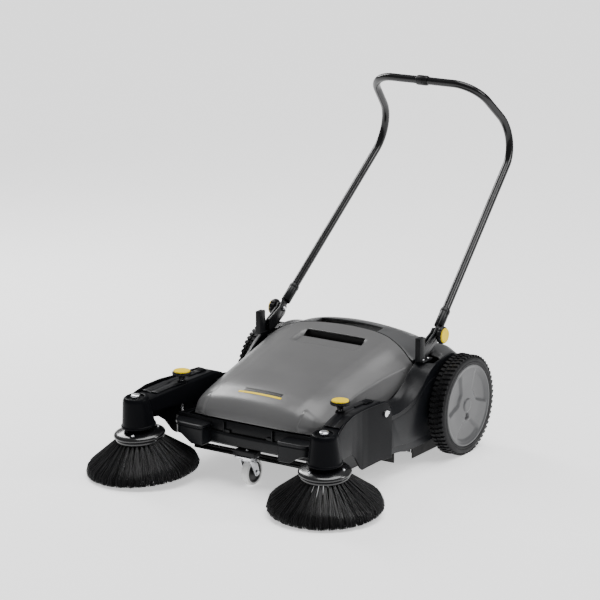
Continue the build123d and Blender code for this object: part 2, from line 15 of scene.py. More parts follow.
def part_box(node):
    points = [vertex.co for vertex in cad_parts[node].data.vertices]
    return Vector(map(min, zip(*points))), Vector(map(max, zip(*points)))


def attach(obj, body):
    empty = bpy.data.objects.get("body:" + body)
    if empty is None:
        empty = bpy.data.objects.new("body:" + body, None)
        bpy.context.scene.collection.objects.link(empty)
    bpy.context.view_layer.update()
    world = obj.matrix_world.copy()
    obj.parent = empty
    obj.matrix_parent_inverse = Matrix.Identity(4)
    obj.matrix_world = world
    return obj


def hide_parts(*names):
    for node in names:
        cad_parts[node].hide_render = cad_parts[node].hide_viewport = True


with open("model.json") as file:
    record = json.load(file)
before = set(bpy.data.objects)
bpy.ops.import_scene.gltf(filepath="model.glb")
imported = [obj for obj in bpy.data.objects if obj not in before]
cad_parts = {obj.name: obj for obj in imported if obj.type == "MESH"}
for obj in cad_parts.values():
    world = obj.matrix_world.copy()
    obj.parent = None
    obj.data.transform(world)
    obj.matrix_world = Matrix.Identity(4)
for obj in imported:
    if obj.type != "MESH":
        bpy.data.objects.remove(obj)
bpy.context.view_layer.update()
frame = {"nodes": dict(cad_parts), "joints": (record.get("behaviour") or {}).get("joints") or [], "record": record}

MM = 0.001
SIDES = ("left", "right")
JOINTS = {joint["name"]: joint for joint in frame["joints"]}


def pivot(joint):
    """A joint's point, in millimetres."""
    return Vector(JOINTS[joint]["pos_m"]) / MM


def corners(node):
    """A CAD node's lowest and highest corners, in millimetres."""
    low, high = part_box(node)
    return low / MM, high / MM


# ---------------------------------------------------------------- sizes read from the frame
tyre_low, tyre_high = corners("tyre_left")
wheel = pivot("wheel_left_spin")
wheel_r = (tyre_high.z - tyre_low.z) / 2
spindle_foot = pivot("side_brush_left_spin")
spindle_up = Vector(JOINTS["side_brush_left_spin"]["axis"]).normalized()
height_knob = pivot("height_knob_left_turn")
clamp = pivot("clamp_knob_left_turn")
arm_pivot = pivot("arm_left_lift")
caster_hub = pivot("caster_roll_spin")
caster_r = corners("caster_tyre")[1].z / 2
arm_low = corners("arm_housing_left")[0]
panel_high = corners("side_panel_left")[1]
roller = pivot("roller_spin")


# ---------------------------------------------------------------- node helpers
def add(tree, kind, inputs=None, **settings):
    """A new node with its settings, and its inputs set to values or linked to other nodes' outputs."""
    made = tree.nodes.new(kind)
    for key, value in settings.items():
        setattr(made, key, value)
    for key, value in (inputs or {}).items():
        if isinstance(value, bpy.types.NodeSocket):
            tree.links.new(value, made.inputs[key])
        else:
            made.inputs[key].default_value = value
    return made


def group(name, kind, inputs, outputs):
    """A node group with named sockets, given as (name, type, default) and (name, type)."""
    made = bpy.data.node_groups.new(name, kind)
    for label, socket_type, default in inputs:
        socket = made.interface.new_socket(label, in_out="INPUT", socket_type=socket_type)
        if default is not None:
            socket.default_value = default
    for label, socket_type in outputs:
        made.interface.new_socket(label, in_out="OUTPUT", socket_type=socket_type)
    return made, made.nodes.new("NodeGroupInput").outputs, made.nodes.new("NodeGroupOutput").inputs


def maths(tree, operation, a, b=0.0, c=0.0):
    return add(tree, "ShaderNodeMath", {0: a, 1: b, 2: c}, operation=operation).outputs[0]


def blend(tree, share, first, second):
    """Colour that goes from the first to the second as share goes from 0 to 1."""
    return add(tree, "ShaderNodeMix", {0: share, 6: first, 7: second}, data_type="RGBA").outputs[2]


FLOAT, INT = "NodeSocketFloat", "NodeSocketInt"
MATERIAL, GEOMETRY = "NodeSocketMaterial", "NodeSocketGeometry"


def moulded_grain():
    """Fine spark-eroded texture of a moulding: bump height and a slow drift of tone."""
    tree, given, out = group("moulded_grain", "ShaderNodeTree", [("Scale", FLOAT, 900.0)],
                             [("Height", FLOAT), ("Tone", FLOAT)])
    place = add(tree, "ShaderNodeTexCoord").outputs["Object"]
    fine = add(tree, "ShaderNodeTexNoise", {"Vector": place, "Scale": given["Scale"], "Detail": 3.0})
    pebble = add(tree, "ShaderNodeTexVoronoi", {"Vector": place, "Scale": given["Scale"]})
    both = maths(tree, "ADD", fine.outputs["Fac"], pebble.outputs["Distance"])
    slow = add(tree, "ShaderNodeTexNoise", {"Vector": place, "Scale": 6.0, "Detail": 4.0, "Roughness": 0.6})
    tree.links.new(both, out["Height"])
    tree.links.new(slow.outputs["Fac"], out["Tone"])
    return tree


def edge_wear():
    """Mask of rubbed convex edges, broken up by noise."""
    tree, given, out = group("edge_wear", "ShaderNodeTree", [("Amount", FLOAT, 0.5)], [("Mask", FLOAT)])
    place = add(tree, "ShaderNodeTexCoord").outputs["Object"]
    point = add(tree, "ShaderNodeNewGeometry").outputs["Pointiness"]
    edge = add(tree, "ShaderNodeMapRange", {"Value": point, "From Min": 0.52, "From Max": 0.60})
    patch = add(tree, "ShaderNodeTexNoise", {"Vector": place, "Scale": 60.0, "Detail": 5.0})
    mask = maths(tree, "MULTIPLY", edge.outputs["Result"], patch.outputs["Fac"])
    tree.links.new(maths(tree, "MULTIPLY", mask, given["Amount"]), out["Mask"])
    return tree


def settled_dust():
    """Mask of the thin dust that lies on faces which look up."""
    tree, given, out = group("settled_dust", "ShaderNodeTree", [("Amount", FLOAT, 0.2)], [("Mask", FLOAT)])
    place = add(tree, "ShaderNodeTexCoord").outputs["Object"]
    normal = add(tree, "ShaderNodeNewGeometry").outputs["Normal"]
    up = add(tree, "ShaderNodeSeparateXYZ", {"Vector": normal})
    top = add(tree, "ShaderNodeMapRange", {"Value": up.outputs["Z"], "From Min": 0.3, "From Max": 1.0})
    patch = add(tree, "ShaderNodeTexNoise", {"Vector": place, "Scale": 22.0, "Detail": 6.0,
                                             "Roughness": 0.7})
    mask = maths(tree, "MULTIPLY", top.outputs["Result"], patch.outputs["Fac"])
    tree.links.new(maths(tree, "MULTIPLY", mask, given["Amount"]), out["Mask"])
    return tree


GRAIN, WEAR, DUST = moulded_grain(), edge_wear(), settled_dust()


def grain(tree, scale):
    made = add(tree, "ShaderNodeGroup", {"Scale": scale}, node_tree=GRAIN)
    return made.outputs["Height"], made.outputs["Tone"]


def noise(tree, scale, stretch=(1, 1, 1), detail=3.0):
    """Noise in object coordinates, stretched along an axis for brushed or drawn surfaces."""
    place = add(tree, "ShaderNodeTexCoord").outputs["Object"]
    mapped = add(tree, "ShaderNodeMapping", {"Vector": place, "Scale": stretch})
    return add(tree, "ShaderNodeTexNoise",
               {"Vector": mapped.outputs["Vector"], "Scale": scale, "Detail": detail}).outputs["Fac"]


def spangle(tree, scale):
    """Crystal flakes of a zinc coat."""
    place = add(tree, "ShaderNodeTexCoord").outputs["Object"]
    cell = add(tree, "ShaderNodeTexVoronoi", {"Vector": place, "Scale": scale})
    flake = add(tree, "ShaderNodeSeparateColor", {"Color": cell.outputs["Color"]})
    return cell.outputs["Distance"], flake.outputs[0]


def strand_tone_and_highlight(tree, scale):
    """Tone stored on each bristle, with fine streaks along it. The tone is random, and its lighter strands also
    stand for painted highlights on the fibres.
    """
    stored = add(tree, "ShaderNodeAttribute", attribute_name="tone").outputs["Fac"]
    return noise(tree, scale), stored


MATERIALS = {}
DUST_COLOUR = (0.42, 0.40, 0.37, 1)


def finish(slot, dark, light, rough, texture, bump=0.0, wear=0.0, dust=0.0, name=None, **shader):
    """A finish that drifts between two colours and two roughnesses, with bump, worn edges and dust."""
    material = bpy.data.materials.new(name or slot)
    material.use_nodes = True
    tree = material.node_tree
    surface = tree.nodes["Principled BSDF"]
    for key, value in shader.items():
        surface.inputs[key.replace("_", " ")].default_value = value
    height, tone = texture(tree)
    drift = add(tree, "ShaderNodeMapRange", {"Value": tone, "From Min": 0.25, "From Max": 0.75})
    colour = blend(tree, drift.outputs["Result"], (*dark, 1), (*light, 1))
    roughness = add(tree, "ShaderNodeMapRange", {"Value": tone, "From Min": 0.25, "From Max": 0.75,
                                                 "To Min": rough[0], "To Max": rough[1]}).outputs["Result"]
    if wear:
        mask = add(tree, "ShaderNodeGroup", {"Amount": wear}, node_tree=WEAR)
        worn = tuple(min(1.0, c * 2.2 + 0.006) for c in light)
        colour = blend(tree, mask.outputs["Mask"], colour, (*worn, 1))
    if dust:
        mask = add(tree, "ShaderNodeGroup", {"Amount": dust}, node_tree=DUST)
        colour = blend(tree, mask.outputs["Mask"], colour, DUST_COLOUR)
        roughness = add(tree, "ShaderNodeMath", {0: mask.outputs["Mask"], 1: 0.5, 2: roughness},
                        operation="MULTIPLY_ADD", use_clamp=True).outputs[0]
    tree.links.new(colour, surface.inputs["Base Color"])
    tree.links.new(roughness, surface.inputs["Roughness"])
    if bump:
        relief = add(tree, "ShaderNodeBump", {"Height": height, "Distance": bump * MM, "Strength": 0.8})
        tree.links.new(relief.outputs["Normal"], surface.inputs["Normal"])
    material["slot"] = slot
    MATERIALS[name or slot] = material
    return material


finish("hood_grey", (0.094, 0.094, 0.095), (0.106, 0.106, 0.107), (0.26, 0.34), lambda t: grain(t, 1100),
       0.04, wear=0.2, dust=0.02, Specular_IOR_Level=0.42)
# painted shade: the rear cover shares the hood's grey, and this darker copy stands in for the shade on its
# backward-facing surfaces
finish("hood_grey", (0.050, 0.051, 0.053), (0.060, 0.061, 0.063), (0.30, 0.38), lambda t: grain(t, 1100),
       0.04, wear=0.2, dust=0.02, name="cover_grey_painted_shade")
finish("chassis_black", (0.0030, 0.0032, 0.0040), (0.0050, 0.0054, 0.0065), (0.26, 0.36),
       lambda t: grain(t, 900),
       0.05, wear=0.1, dust=0.01, Specular_IOR_Level=0.2)
finish("wheel_grey", (0.072, 0.073, 0.075), (0.086, 0.087, 0.089), (0.26, 0.34), lambda t: grain(t, 1000),
       0.05, wear=0.2, dust=0.02, Specular_IOR_Level=0.3)
finish("knob_yellow", (0.86, 0.60, 0.001), (0.92, 0.67, 0.002), (0.30, 0.40), lambda t: grain(t, 700), 0.02,
       Specular_IOR_Level=0.12)
finish("knob_black", (0.0035, 0.0035, 0.004), (0.006, 0.006, 0.007), (0.32, 0.42), lambda t: grain(t, 900),
       0.05, wear=0.1, Specular_IOR_Level=0.22)
finish("tyre_rubber", (0.004, 0.004, 0.0045), (0.008, 0.008, 0.009), (0.44, 0.60),
       lambda t: (noise(t, 700), noise(t, 30)), 0.10, wear=0.1, dust=0.01, Specular_IOR_Level=0.18)
finish("caster_white", (0.66, 0.66, 0.65), (0.80, 0.80, 0.79), (0.34, 0.5),
       lambda t: (noise(t, 400), noise(t, 25)), 0.05)
finish("caster_hub", (0.012, 0.012, 0.012), (0.022, 0.022, 0.022), (0.34, 0.5), lambda t: grain(t, 900),
       0.05)
# the strands' lighter tones are partly random tone and partly painted highlights on the fibres
finish("bristle_black", (0.0015, 0.0015, 0.002), (0.010, 0.010, 0.011), (0.22, 0.36),
       lambda t: strand_tone_and_highlight(t, 900), Specular_IOR_Level=0.6)
finish("plate_black", (0.003, 0.003, 0.0035), (0.006, 0.006, 0.007), (0.13, 0.24),
       lambda t: (noise(t, 260), noise(t, 14)), 0.03, wear=0.3, Coat_Weight=0.3, Coat_Roughness=0.1)
finish("handle_paint", (0.0025, 0.0025, 0.003), (0.004, 0.004, 0.005), (0.20, 0.28),
       lambda t: (noise(t, 320, detail=1.0), noise(t, 12)), 0.06, Coat_Weight=0.12, Coat_Roughness=0.08,
       Specular_IOR_Level=0.3)
finish("steel", (0.50, 0.50, 0.51), (0.66, 0.66, 0.67), (0.20, 0.34),
       lambda t: (noise(t, 900, (1, 1, 0.05)), noise(t, 400, (1, 1, 0.05))), 0.02, Metallic=1.0)
finish("zinc", (0.62, 0.63, 0.65), (0.80, 0.81, 0.83), (0.16, 0.30), lambda t: spangle(t, 160), 0.02,
       wear=0.1, Metallic=1.0)
finish("gear_plastic", (0.030, 0.030, 0.033), (0.045, 0.045, 0.050), (0.3, 0.42), lambda t: grain(t, 800),
       0.04)
finish("belt_rubber", (0.014, 0.014, 0.014), (0.026, 0.026, 0.026), (0.4, 0.6),
       lambda t: (noise(t, 600), noise(t, 40)), 0.04)
finish("seal_rubber", (0.010, 0.010, 0.010), (0.020, 0.020, 0.020), (0.5, 0.7),
       lambda t: (noise(t, 500), noise(t, 40)), 0.08, dust=0.05)
finish("chassis_black", (0.0035, 0.0038, 0.0048), (0.0055, 0.0060, 0.0075), (0.26, 0.36),
       lambda t: grain(t, 900),
       0.05, wear=0.1, dust=0.01, name="fender_black", Specular_IOR_Level=0.16)
finish("knob_black", (0.002, 0.002, 0.002), (0.004, 0.004, 0.004), (0.3, 0.4), lambda t: grain(t, 900),
       0.02, name="trim_black", Specular_IOR_Level=0.3)
# painted shade: a slightly darker copy of chassis_black, with its reflection turned down, that darkens the light
# falling on the arm's skirt
finish("chassis_black", (0.0028, 0.0030, 0.0038), (0.0045, 0.0048, 0.0060), (0.28, 0.38),
       lambda t: grain(t, 900),
       0.05, name="arm_black", Specular_IOR_Level=0.04)


# ---------------------------------------------------------------- mesh helpers
def ease(value, start, end):
    """Smooth step from 0 at start to 1 at end."""
    t = np.clip((value - start) / (end - start), 0, 1)
    return t * t * (3 - 2 * t)


def run_lengths(points):
    """Distance from the first point to each point along the line through them."""
    return np.concatenate([[0], np.cumsum(np.linalg.norm(np.diff(points, axis=0), axis=1))])


def through(points, shares, knots=None):
    """Points of a smooth curve through the given ones, at shares of the way along its knots."""
    p = np.array(points, float)
    if knots is None:
        knots = run_lengths(p)
    slope = np.gradient(p, knots, axis=0)
    s = np.asarray(shares) * knots[-1]
    i = np.clip(np.searchsorted(knots, s, side="right") - 1, 0, len(knots) - 2)
    h = (knots[i + 1] - knots[i])[:, None]
    t = ((s - knots[i])[:, None]) / h
    return ((2 * t**3 - 3 * t**2 + 1) * p[i] + (t**3 - 2 * t**2 + t) * h * slope[i]
            + (3 * t**2 - 2 * t**3) * p[i + 1] + (t**3 - t**2) * h * slope[i + 1])


def woven(points, around=False, looped=False, hole=None, caps=False):
    """Faces over a grid of points. around closes each row, looped joins the last row to the first,
    caps closes the two end rows and hole(row, column) leaves a face out."""
    bm = bmesh.new()
    verts = [[bm.verts.new(p) for p in row] for row in points]
    rows, cols = len(verts), len(verts[0])
    for r in range(rows if looped else rows - 1):
        for c in range(cols if around else cols - 1):
            if hole and hole(r, c):
                continue
            near, far = verts[r], verts[(r + 1) % rows]
            bm.faces.new((near[c], near[(c + 1) % cols], far[(c + 1) % cols], far[c]))
    if caps:
        bm.faces.new(verts[0])
        bm.faces.new(verts[-1])
    bmesh.ops.remove_doubles(bm, verts=bm.verts, dist=0.001)
    bmesh.ops.recalc_face_normals(bm, faces=bm.faces)
    return bm


def thicken(bm, depth):
    """Give a surface whose faces look outwards a wall of that depth on its inner side."""
    loose = [v for v in bm.verts if not v.link_faces]
    bmesh.ops.delete(bm, geom=loose, context="VERTS")
    bm.normal_update()
    faces = list(bm.faces)
    rim = [edge.link_loops[0] for edge in bm.edges if len(edge.link_faces) == 1]
    inner = {v: bm.verts.new(v.co - v.normal * depth) for v in list(bm.verts)}
    for face in faces:
        bm.faces.new([inner[v] for v in reversed(face.verts)])
    for loop in rim:
        a, b = loop.vert, loop.link_loop_next.vert
        bm.faces.new((b, a, inner[a], inner[b]))
    return bm


def rounded(bm, width, segments=3, angle=35):
    """Round every edge that is sharper than the angle."""
    bm.normal_update()
    sharp = [e for e in bm.edges if len(e.link_faces) == 2 and e.calc_face_angle(0) > radians(angle)]
    bmesh.ops.bevel(bm, geom=sharp, offset=width, segments=segments, profile=0.5, affect="EDGES",
                    clamp_overlap=True)
    return bm


def prism(outline, start, end, axis="x"):
    """Outline in the plane square to the axis, drawn out from start to end. The axis x has (y, z) outlines,
    y has (x, z) and z has (x, y)."""
    def placed(u, v, w):
        return {"x": (w, u, v), "y": (u, w, v), "z": (u, v, w)}[axis]
    return woven([[placed(u, v, w) for u, v in outline] for w in (start, end)], around=True, caps=True)


def lathe(base, axis, profile, steps=96, ripple=None, ring=False):
    """Profile of (radius, height) turned about an axis from base. ring joins the profile's ends.
    ripple(angle) scales the radius."""
    turn = Vector(axis).to_track_quat("Z", "X").to_matrix()
    rows = []
    for i in range(steps):
        angle = tau * i / steps
        scale = ripple(angle) if ripple else 1.0
        rows.append([Vector(base) + turn @ Vector((r * scale * cos(angle), r * scale * sin(angle), h))
                     for r, h in profile])
    return woven(rows, around=ring, looped=True)


def on_axle(hub, profile, steps=96, ripple=None, ring=False):
    """Profile of (radius, x) turned about the line through a hub that runs from side to side."""
    return lathe((0, hub.y, hub.z), (1, 0, 0), profile, steps, ripple, ring)


def rounded_path(points, radii, step=6.0):
    """Points along straight runs joined by arcs of the given radii."""
    points = [Vector(p) for p in points]
    path = [points[0]]
    for before, at, after, radius in zip(points, points[1:], points[2:], radii):
        into, out = (at - before).normalized(), (after - at).normalized()
        half = into.angle(out) / 2
        reach = radius * np.tan(half)
        centre = at + (out - into).normalized() * radius / cos(half)
        start, turn = at - into * reach - centre, into.cross(out)
        count = max(6, int(radius * 2 * half / step))
        path += [centre + Matrix.Rotation(2 * half * i / count, 3, turn) @ start for i in range(count + 1)]
    path.append(points[-1])
    dense = [path[0]]
    for a, b in zip(path, path[1:]):
        parts = max(1, int((b - a).length / 25))
        dense += [a.lerp(b, i / parts) for i in range(1, parts + 1)]
    return dense


def tube(path, radius, sides=32, inside=None):
    """Round tube along a path, with open ends closed by an inner wall or by flat caps."""
    path = [Vector(p) for p in path]
    rings = []
    along = (path[1] - path[0]).normalized()
    side = along.orthogonal().normalized()
    for i, p in enumerate(path):
        ahead = (path[min(i + 1, len(path) - 1)] - path[max(i - 1, 0)]).normalized()
        side = (side - ahead * side.dot(ahead)).normalized()
        up = ahead.cross(side)
        rings.append([(p, side * cos(tau * k / sides) + up * sin(tau * k / sides)) for k in range(sides)])
    outer = [[p + d * radius for p, d in ring] for ring in rings]
    if inside is None:
        return woven(outer, around=True, caps=True)
    inner = [[p + d * inside for p, d in ring] for ring in reversed(rings)]
    return woven(outer + inner, around=True, looped=True)


def from_cad(node, width=0.8, segments=2, angle=30):
    """A CAD node's own shape with its sharp edges rounded."""
    bm = bmesh.new()
    bm.from_mesh(frame["nodes"][node].data)
    bmesh.ops.scale(bm, vec=(1 / MM,) * 3, verts=bm.verts)
    bmesh.ops.remove_doubles(bm, verts=bm.verts, dist=0.004)
    bmesh.ops.dissolve_limit(bm, angle_limit=radians(1.0), verts=bm.verts, edges=bm.edges)
    return rounded(bm, width, segments, angle)


def shade(mesh, smooth):
    """Smooth shading with hard edges above an angle in degrees."""
    mesh.polygons.foreach_set("use_smooth", [True] * len(mesh.polygons))
    mesh.set_sharp_from_angle(angle=radians(smooth))


def to_mesh(name, bm, material, smooth):
    mesh = bpy.data.meshes.new(name)
    bm.to_mesh(mesh)
    bm.free()
    shade(mesh, smooth)
    mesh.materials.append(material)
    return mesh


def put(mesh, name, body, nodes):
    """Show a finished mesh as one piece that rides on a body and stands for CAD nodes."""
    piece = bpy.data.objects.new(name, mesh)
    bpy.context.scene.collection.objects.link(piece)
    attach(piece, body)
    if nodes:
        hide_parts(*nodes)
    return piece


def piece(name, parts, finish_name, body, nodes=(), smooth=38, mirrored=False):
    """Join parts made in millimetres into one piece."""
    whole = bmesh.new()
    for part in parts:
        loose = bpy.data.meshes.new("part")
        part.to_mesh(loose)
        part.free()
        whole.from_mesh(loose)
        bpy.data.meshes.remove(loose)
    bmesh.ops.scale(whole, vec=(-MM if mirrored else MM, MM, MM), verts=whole.verts)
    if mirrored:
        bmesh.ops.reverse_faces(whole, faces=whole.faces)
    material = MATERIALS[finish_name]
    return put(to_mesh(name, whole, material, smooth), name, body, nodes)


def pair(name, build, finish_name, body, nodes=(), smooth=38):
    """A left piece and its mirror image. {} in the body and node names stands for the side."""
    for side in SIDES:
        piece(f"{name}_{side}", build(), finish_name, body.format(side), [n.format(side) for n in nodes],
              smooth, side == "right")


# ---------------------------------------------------------------- geometry node trees
def named(tree, name):
    return add(tree, "GeometryNodeInputNamedAttribute", {"Name": name},
               data_type="FLOAT").outputs["Attribute"]


def end_tree(tree, geometry, given, out):
    """Every tree ends in real geometry with its material."""
    real = add(tree, "GeometryNodeRealizeInstances", {"Geometry": geometry})
    last = add(tree, "GeometryNodeSetMaterial", {"Geometry": real.outputs[0],
                                                 "Material": given["Material"]})
    tree.links.new(last.outputs[0], out["Geometry"])


def scattered(tree, given, count, names):
    """Points with a random number from 0 to 1 stored under each name."""
    points = add(tree, "GeometryNodePoints", {"Count": count}).outputs[0]
    for i, name in enumerate(names):
        seed = maths(tree, "ADD", given["Seed"], float(i))
        value = add(tree, "FunctionNodeRandomValue", {"Seed": seed}, data_type="FLOAT")
        points = add(tree, "GeometryNodeStoreNamedAttribute",
                     {"Geometry": points, "Name": name, "Value": value.outputs[1]},
                     data_type="FLOAT", domain="POINT").outputs[0]
    return points


def strands(tree, given, points, segments):
    """A straight strand from z = 0 to 1 on every point, as one set of curves."""
    line = add(tree, "GeometryNodeCurvePrimitiveLine", {"End": (0, 0, 1)})
    fine = add(tree, "GeometryNodeResampleCurve", {"Curve": line.outputs[0], "Count": segments + 1})
    on = add(tree, "GeometryNodeInstanceOnPoints", {"Points": points, "Instance": fine.outputs[0]})
    return add(tree, "GeometryNodeRealizeInstances", {"Geometry": on.outputs[0]}).outputs[0]


def along_strand(tree):
    """How far along its strand a point is, from 0 to 1."""
    spot = add(tree, "GeometryNodeInputPosition").outputs[0]
    return add(tree, "ShaderNodeSeparateXYZ", {0: spot}).outputs["Z"]


def polar(tree, radius, angle):
    """The two parts of a radius at an angle."""
    return [maths(tree, "MULTIPLY", radius, maths(tree, turn, angle)) for turn in ("COSINE", "SINE")]


def end_bristles(tree, curves, place, given, out):
    """Strands moved to their places and given a thin three-sided section."""
    spot = add(tree, "ShaderNodeCombineXYZ", dict(enumerate(place)))
    moved = add(tree, "GeometryNodeSetPosition", {"Geometry": curves, "Position": spot.outputs[0]})
    section = add(tree, "GeometryNodeCurvePrimitiveCircle", {"Resolution": 3, "Radius": given["Thickness"]})
    solid = add(tree, "GeometryNodeCurveToMesh",
                {"Curve": moved.outputs[0], "Profile Curve": section.outputs[0]})
    end_tree(tree, solid.outputs[0], given, out)


def side_brush_tree():
    """Bristles of a side brush: tufts set in the plate that flare out and turn down at the floor."""
    tree, given, out = group("side_brush_bristles", "GeometryNodeTree",
                             [("Strands", INT, 5000), ("Tufts", INT, 30), ("Root radius", FLOAT, 0.05),
                              ("Root band", FLOAT, 0.02), ("Root height", FLOAT, 0.08),
                              ("Rim radius", FLOAT, 0.15), ("Rim band", FLOAT, 0.02),
                              ("Bend height", FLOAT, 0.0),
                              ("Tip height", FLOAT, -0.01), ("Thickness", FLOAT, 0.0005), ("Seed", INT, 1),
                              ("Material", MATERIAL, None)], [("Geometry", GEOMETRY)])
    # the random tone stored on each strand also makes some strands lighter in bristle_black, as painted highlights
    points = scattered(tree, given, given["Strands"], ("tuft", "share", "spread", "length", "tone"))
    curves = strands(tree, given, points, 5)
    along = along_strand(tree)
    tuft = maths(tree, "FLOOR", maths(tree, "MULTIPLY", named(tree, "tuft"), given["Tufts"]))
    spread = maths(tree, "SUBTRACT", named(tree, "spread"), 0.5)
    fan = maths(tree, "MULTIPLY_ADD", along, 0.95, 0.45)
    angle = maths(tree, "MULTIPLY", maths(tree, "MULTIPLY_ADD", spread, fan, tuft),
                  maths(tree, "DIVIDE", tau, given["Tufts"]))
    slant = maths(tree, "MINIMUM", maths(tree, "DIVIDE", along, 0.86), 1.0)
    drop = maths(tree, "MAXIMUM", maths(tree, "DIVIDE", maths(tree, "SUBTRACT", along, 0.86), 0.14), 0.0)
    share = named(tree, "share")
    root = maths(tree, "MULTIPLY_ADD", share, given["Root band"], given["Root radius"])
    rim = maths(tree, "MULTIPLY_ADD", maths(tree, "SQRT", share), given["Rim band"], given["Rim radius"])
    stray = maths(tree, "MULTIPLY", maths(tree, "SUBTRACT", named(tree, "length"), 0.5), 0.004)
    radius = maths(tree, "MULTIPLY_ADD", slant, maths(tree, "SUBTRACT", maths(tree, "ADD", rim, stray),
                                                      root), root)
    fall = maths(tree, "SUBTRACT", given["Bend height"], given["Root height"])
    height = maths(tree, "MULTIPLY_ADD", slant, fall, given["Root height"])
    tip = maths(tree, "SUBTRACT", given["Tip height"], given["Bend height"])
    height = maths(tree, "MULTIPLY_ADD", drop, tip, height)
    height = maths(tree, "MULTIPLY_ADD", stray, slant, height)
    end_bristles(tree, curves, [*polar(tree, radius, angle), height], given, out)
    return tree


def roller_brush_tree():
    """Bristles of the main roller: rows of tufts that wind round the core."""
    tree, given, out = group("roller_bristle_rows", "GeometryNodeTree",
                             [("Strands", INT, 6000), ("Rows", INT, 8), ("Core radius", FLOAT, 0.05),
                              ("Tip radius", FLOAT, 0.12), ("Half length", FLOAT, 0.23),
                              ("Wind", FLOAT, 2.0),
                              ("Thickness", FLOAT, 0.0006), ("Seed", INT, 7), ("Material", MATERIAL, None)],
                             [("Geometry", GEOMETRY)])
    # the random tone stored on each strand also makes some strands lighter in bristle_black, as painted highlights
    points = scattered(tree, given, given["Strands"], ("row", "share", "spread", "length", "tone"))
    curves = strands(tree, given, points, 1)
    along = along_strand(tree)
    row = maths(tree, "FLOOR", maths(tree, "MULTIPLY", named(tree, "row"), given["Rows"]))
    start = maths(tree, "MULTIPLY", row, maths(tree, "DIVIDE", tau, given["Rows"]))
    wound = maths(tree, "MULTIPLY_ADD", named(tree, "share"), given["Wind"], start)
    fan = maths(tree, "MULTIPLY_ADD", along, 0.5, 0.1)
    angle = maths(tree, "MULTIPLY_ADD", maths(tree, "SUBTRACT", named(tree, "spread"), 0.5), fan, wound)
    reach = maths(tree, "SUBTRACT", given["Tip radius"], given["Core radius"])
    reach = maths(tree, "MULTIPLY_ADD", named(tree, "length"), -0.003, reach)
    radius = maths(tree, "MULTIPLY_ADD", along, reach, given["Core radius"])
    across = maths(tree, "MULTIPLY_ADD", named(tree, "share"), 2.0, -1.0)
    width = maths(tree, "MULTIPLY", across, given["Half length"])
    end_bristles(tree, curves, [width, *polar(tree, radius, angle)], given, out)
    return tree


def lug_tree():
    """Tread lugs: tapered blocks round the tyre, set at an offset along its axle."""
    tree, given, out = group("tread_lugs", "GeometryNodeTree",
                             [("Count", INT, 60), ("Radius", FLOAT, 0.14), ("Offset", FLOAT, 0.01),
                              ("Width", FLOAT, 0.01), ("Length", FLOAT, 0.008), ("Height", FLOAT, 0.004),
                              ("Skew", FLOAT, 0.0), ("Shift", FLOAT, 0.0), ("Material", MATERIAL, None)],
                             [("Geometry", GEOMETRY)])
    points = add(tree, "GeometryNodePoints", {"Count": given["Count"]})
    index = add(tree, "GeometryNodeInputIndex").outputs[0]
    step = maths(tree, "DIVIDE", tau, given["Count"])
    angle = maths(tree, "MULTIPLY", maths(tree, "ADD", index, given["Shift"]), step)
    place = add(tree, "ShaderNodeCombineXYZ",
                {0: given["Offset"],
                 1: maths(tree, "MULTIPLY", given["Radius"],
                          maths(tree, "SINE", maths(tree, "MULTIPLY", angle, -1.0))),
                 2: maths(tree, "MULTIPLY", given["Radius"], maths(tree, "COSINE", angle))})
    moved = add(tree, "GeometryNodeSetPosition", {"Geometry": points.outputs[0],
                                                  "Position": place.outputs[0]})
    lug = add(tree, "GeometryNodeMeshCone", {"Vertices": 4, "Radius Top": 0.56, "Radius Bottom": 0.72,
                                             "Depth": 1.0})
    square = add(tree, "GeometryNodeTransform", {"Geometry": lug.outputs[0], "Rotation": (0, 0, pi / 4)})
    size = add(tree, "ShaderNodeCombineXYZ", {0: given["Width"], 1: given["Length"], 2: given["Height"]})
    sized = add(tree, "GeometryNodeTransform", {"Geometry": square.outputs[0], "Scale": size.outputs[0]})
    skew = add(tree, "ShaderNodeCombineXYZ", {2: given["Skew"]})
    turned = add(tree, "GeometryNodeTransform", {"Geometry": sized.outputs[0], "Rotation": skew.outputs[0]})
    round_axle = add(tree, "ShaderNodeCombineXYZ", {0: angle})
    on = add(tree, "GeometryNodeInstanceOnPoints", {"Points": moved.outputs[0],
                                                    "Instance": turned.outputs[0],
                                                    "Rotation": round_axle.outputs[0]})
    end_tree(tree, on.outputs[0], given, out)
    return tree


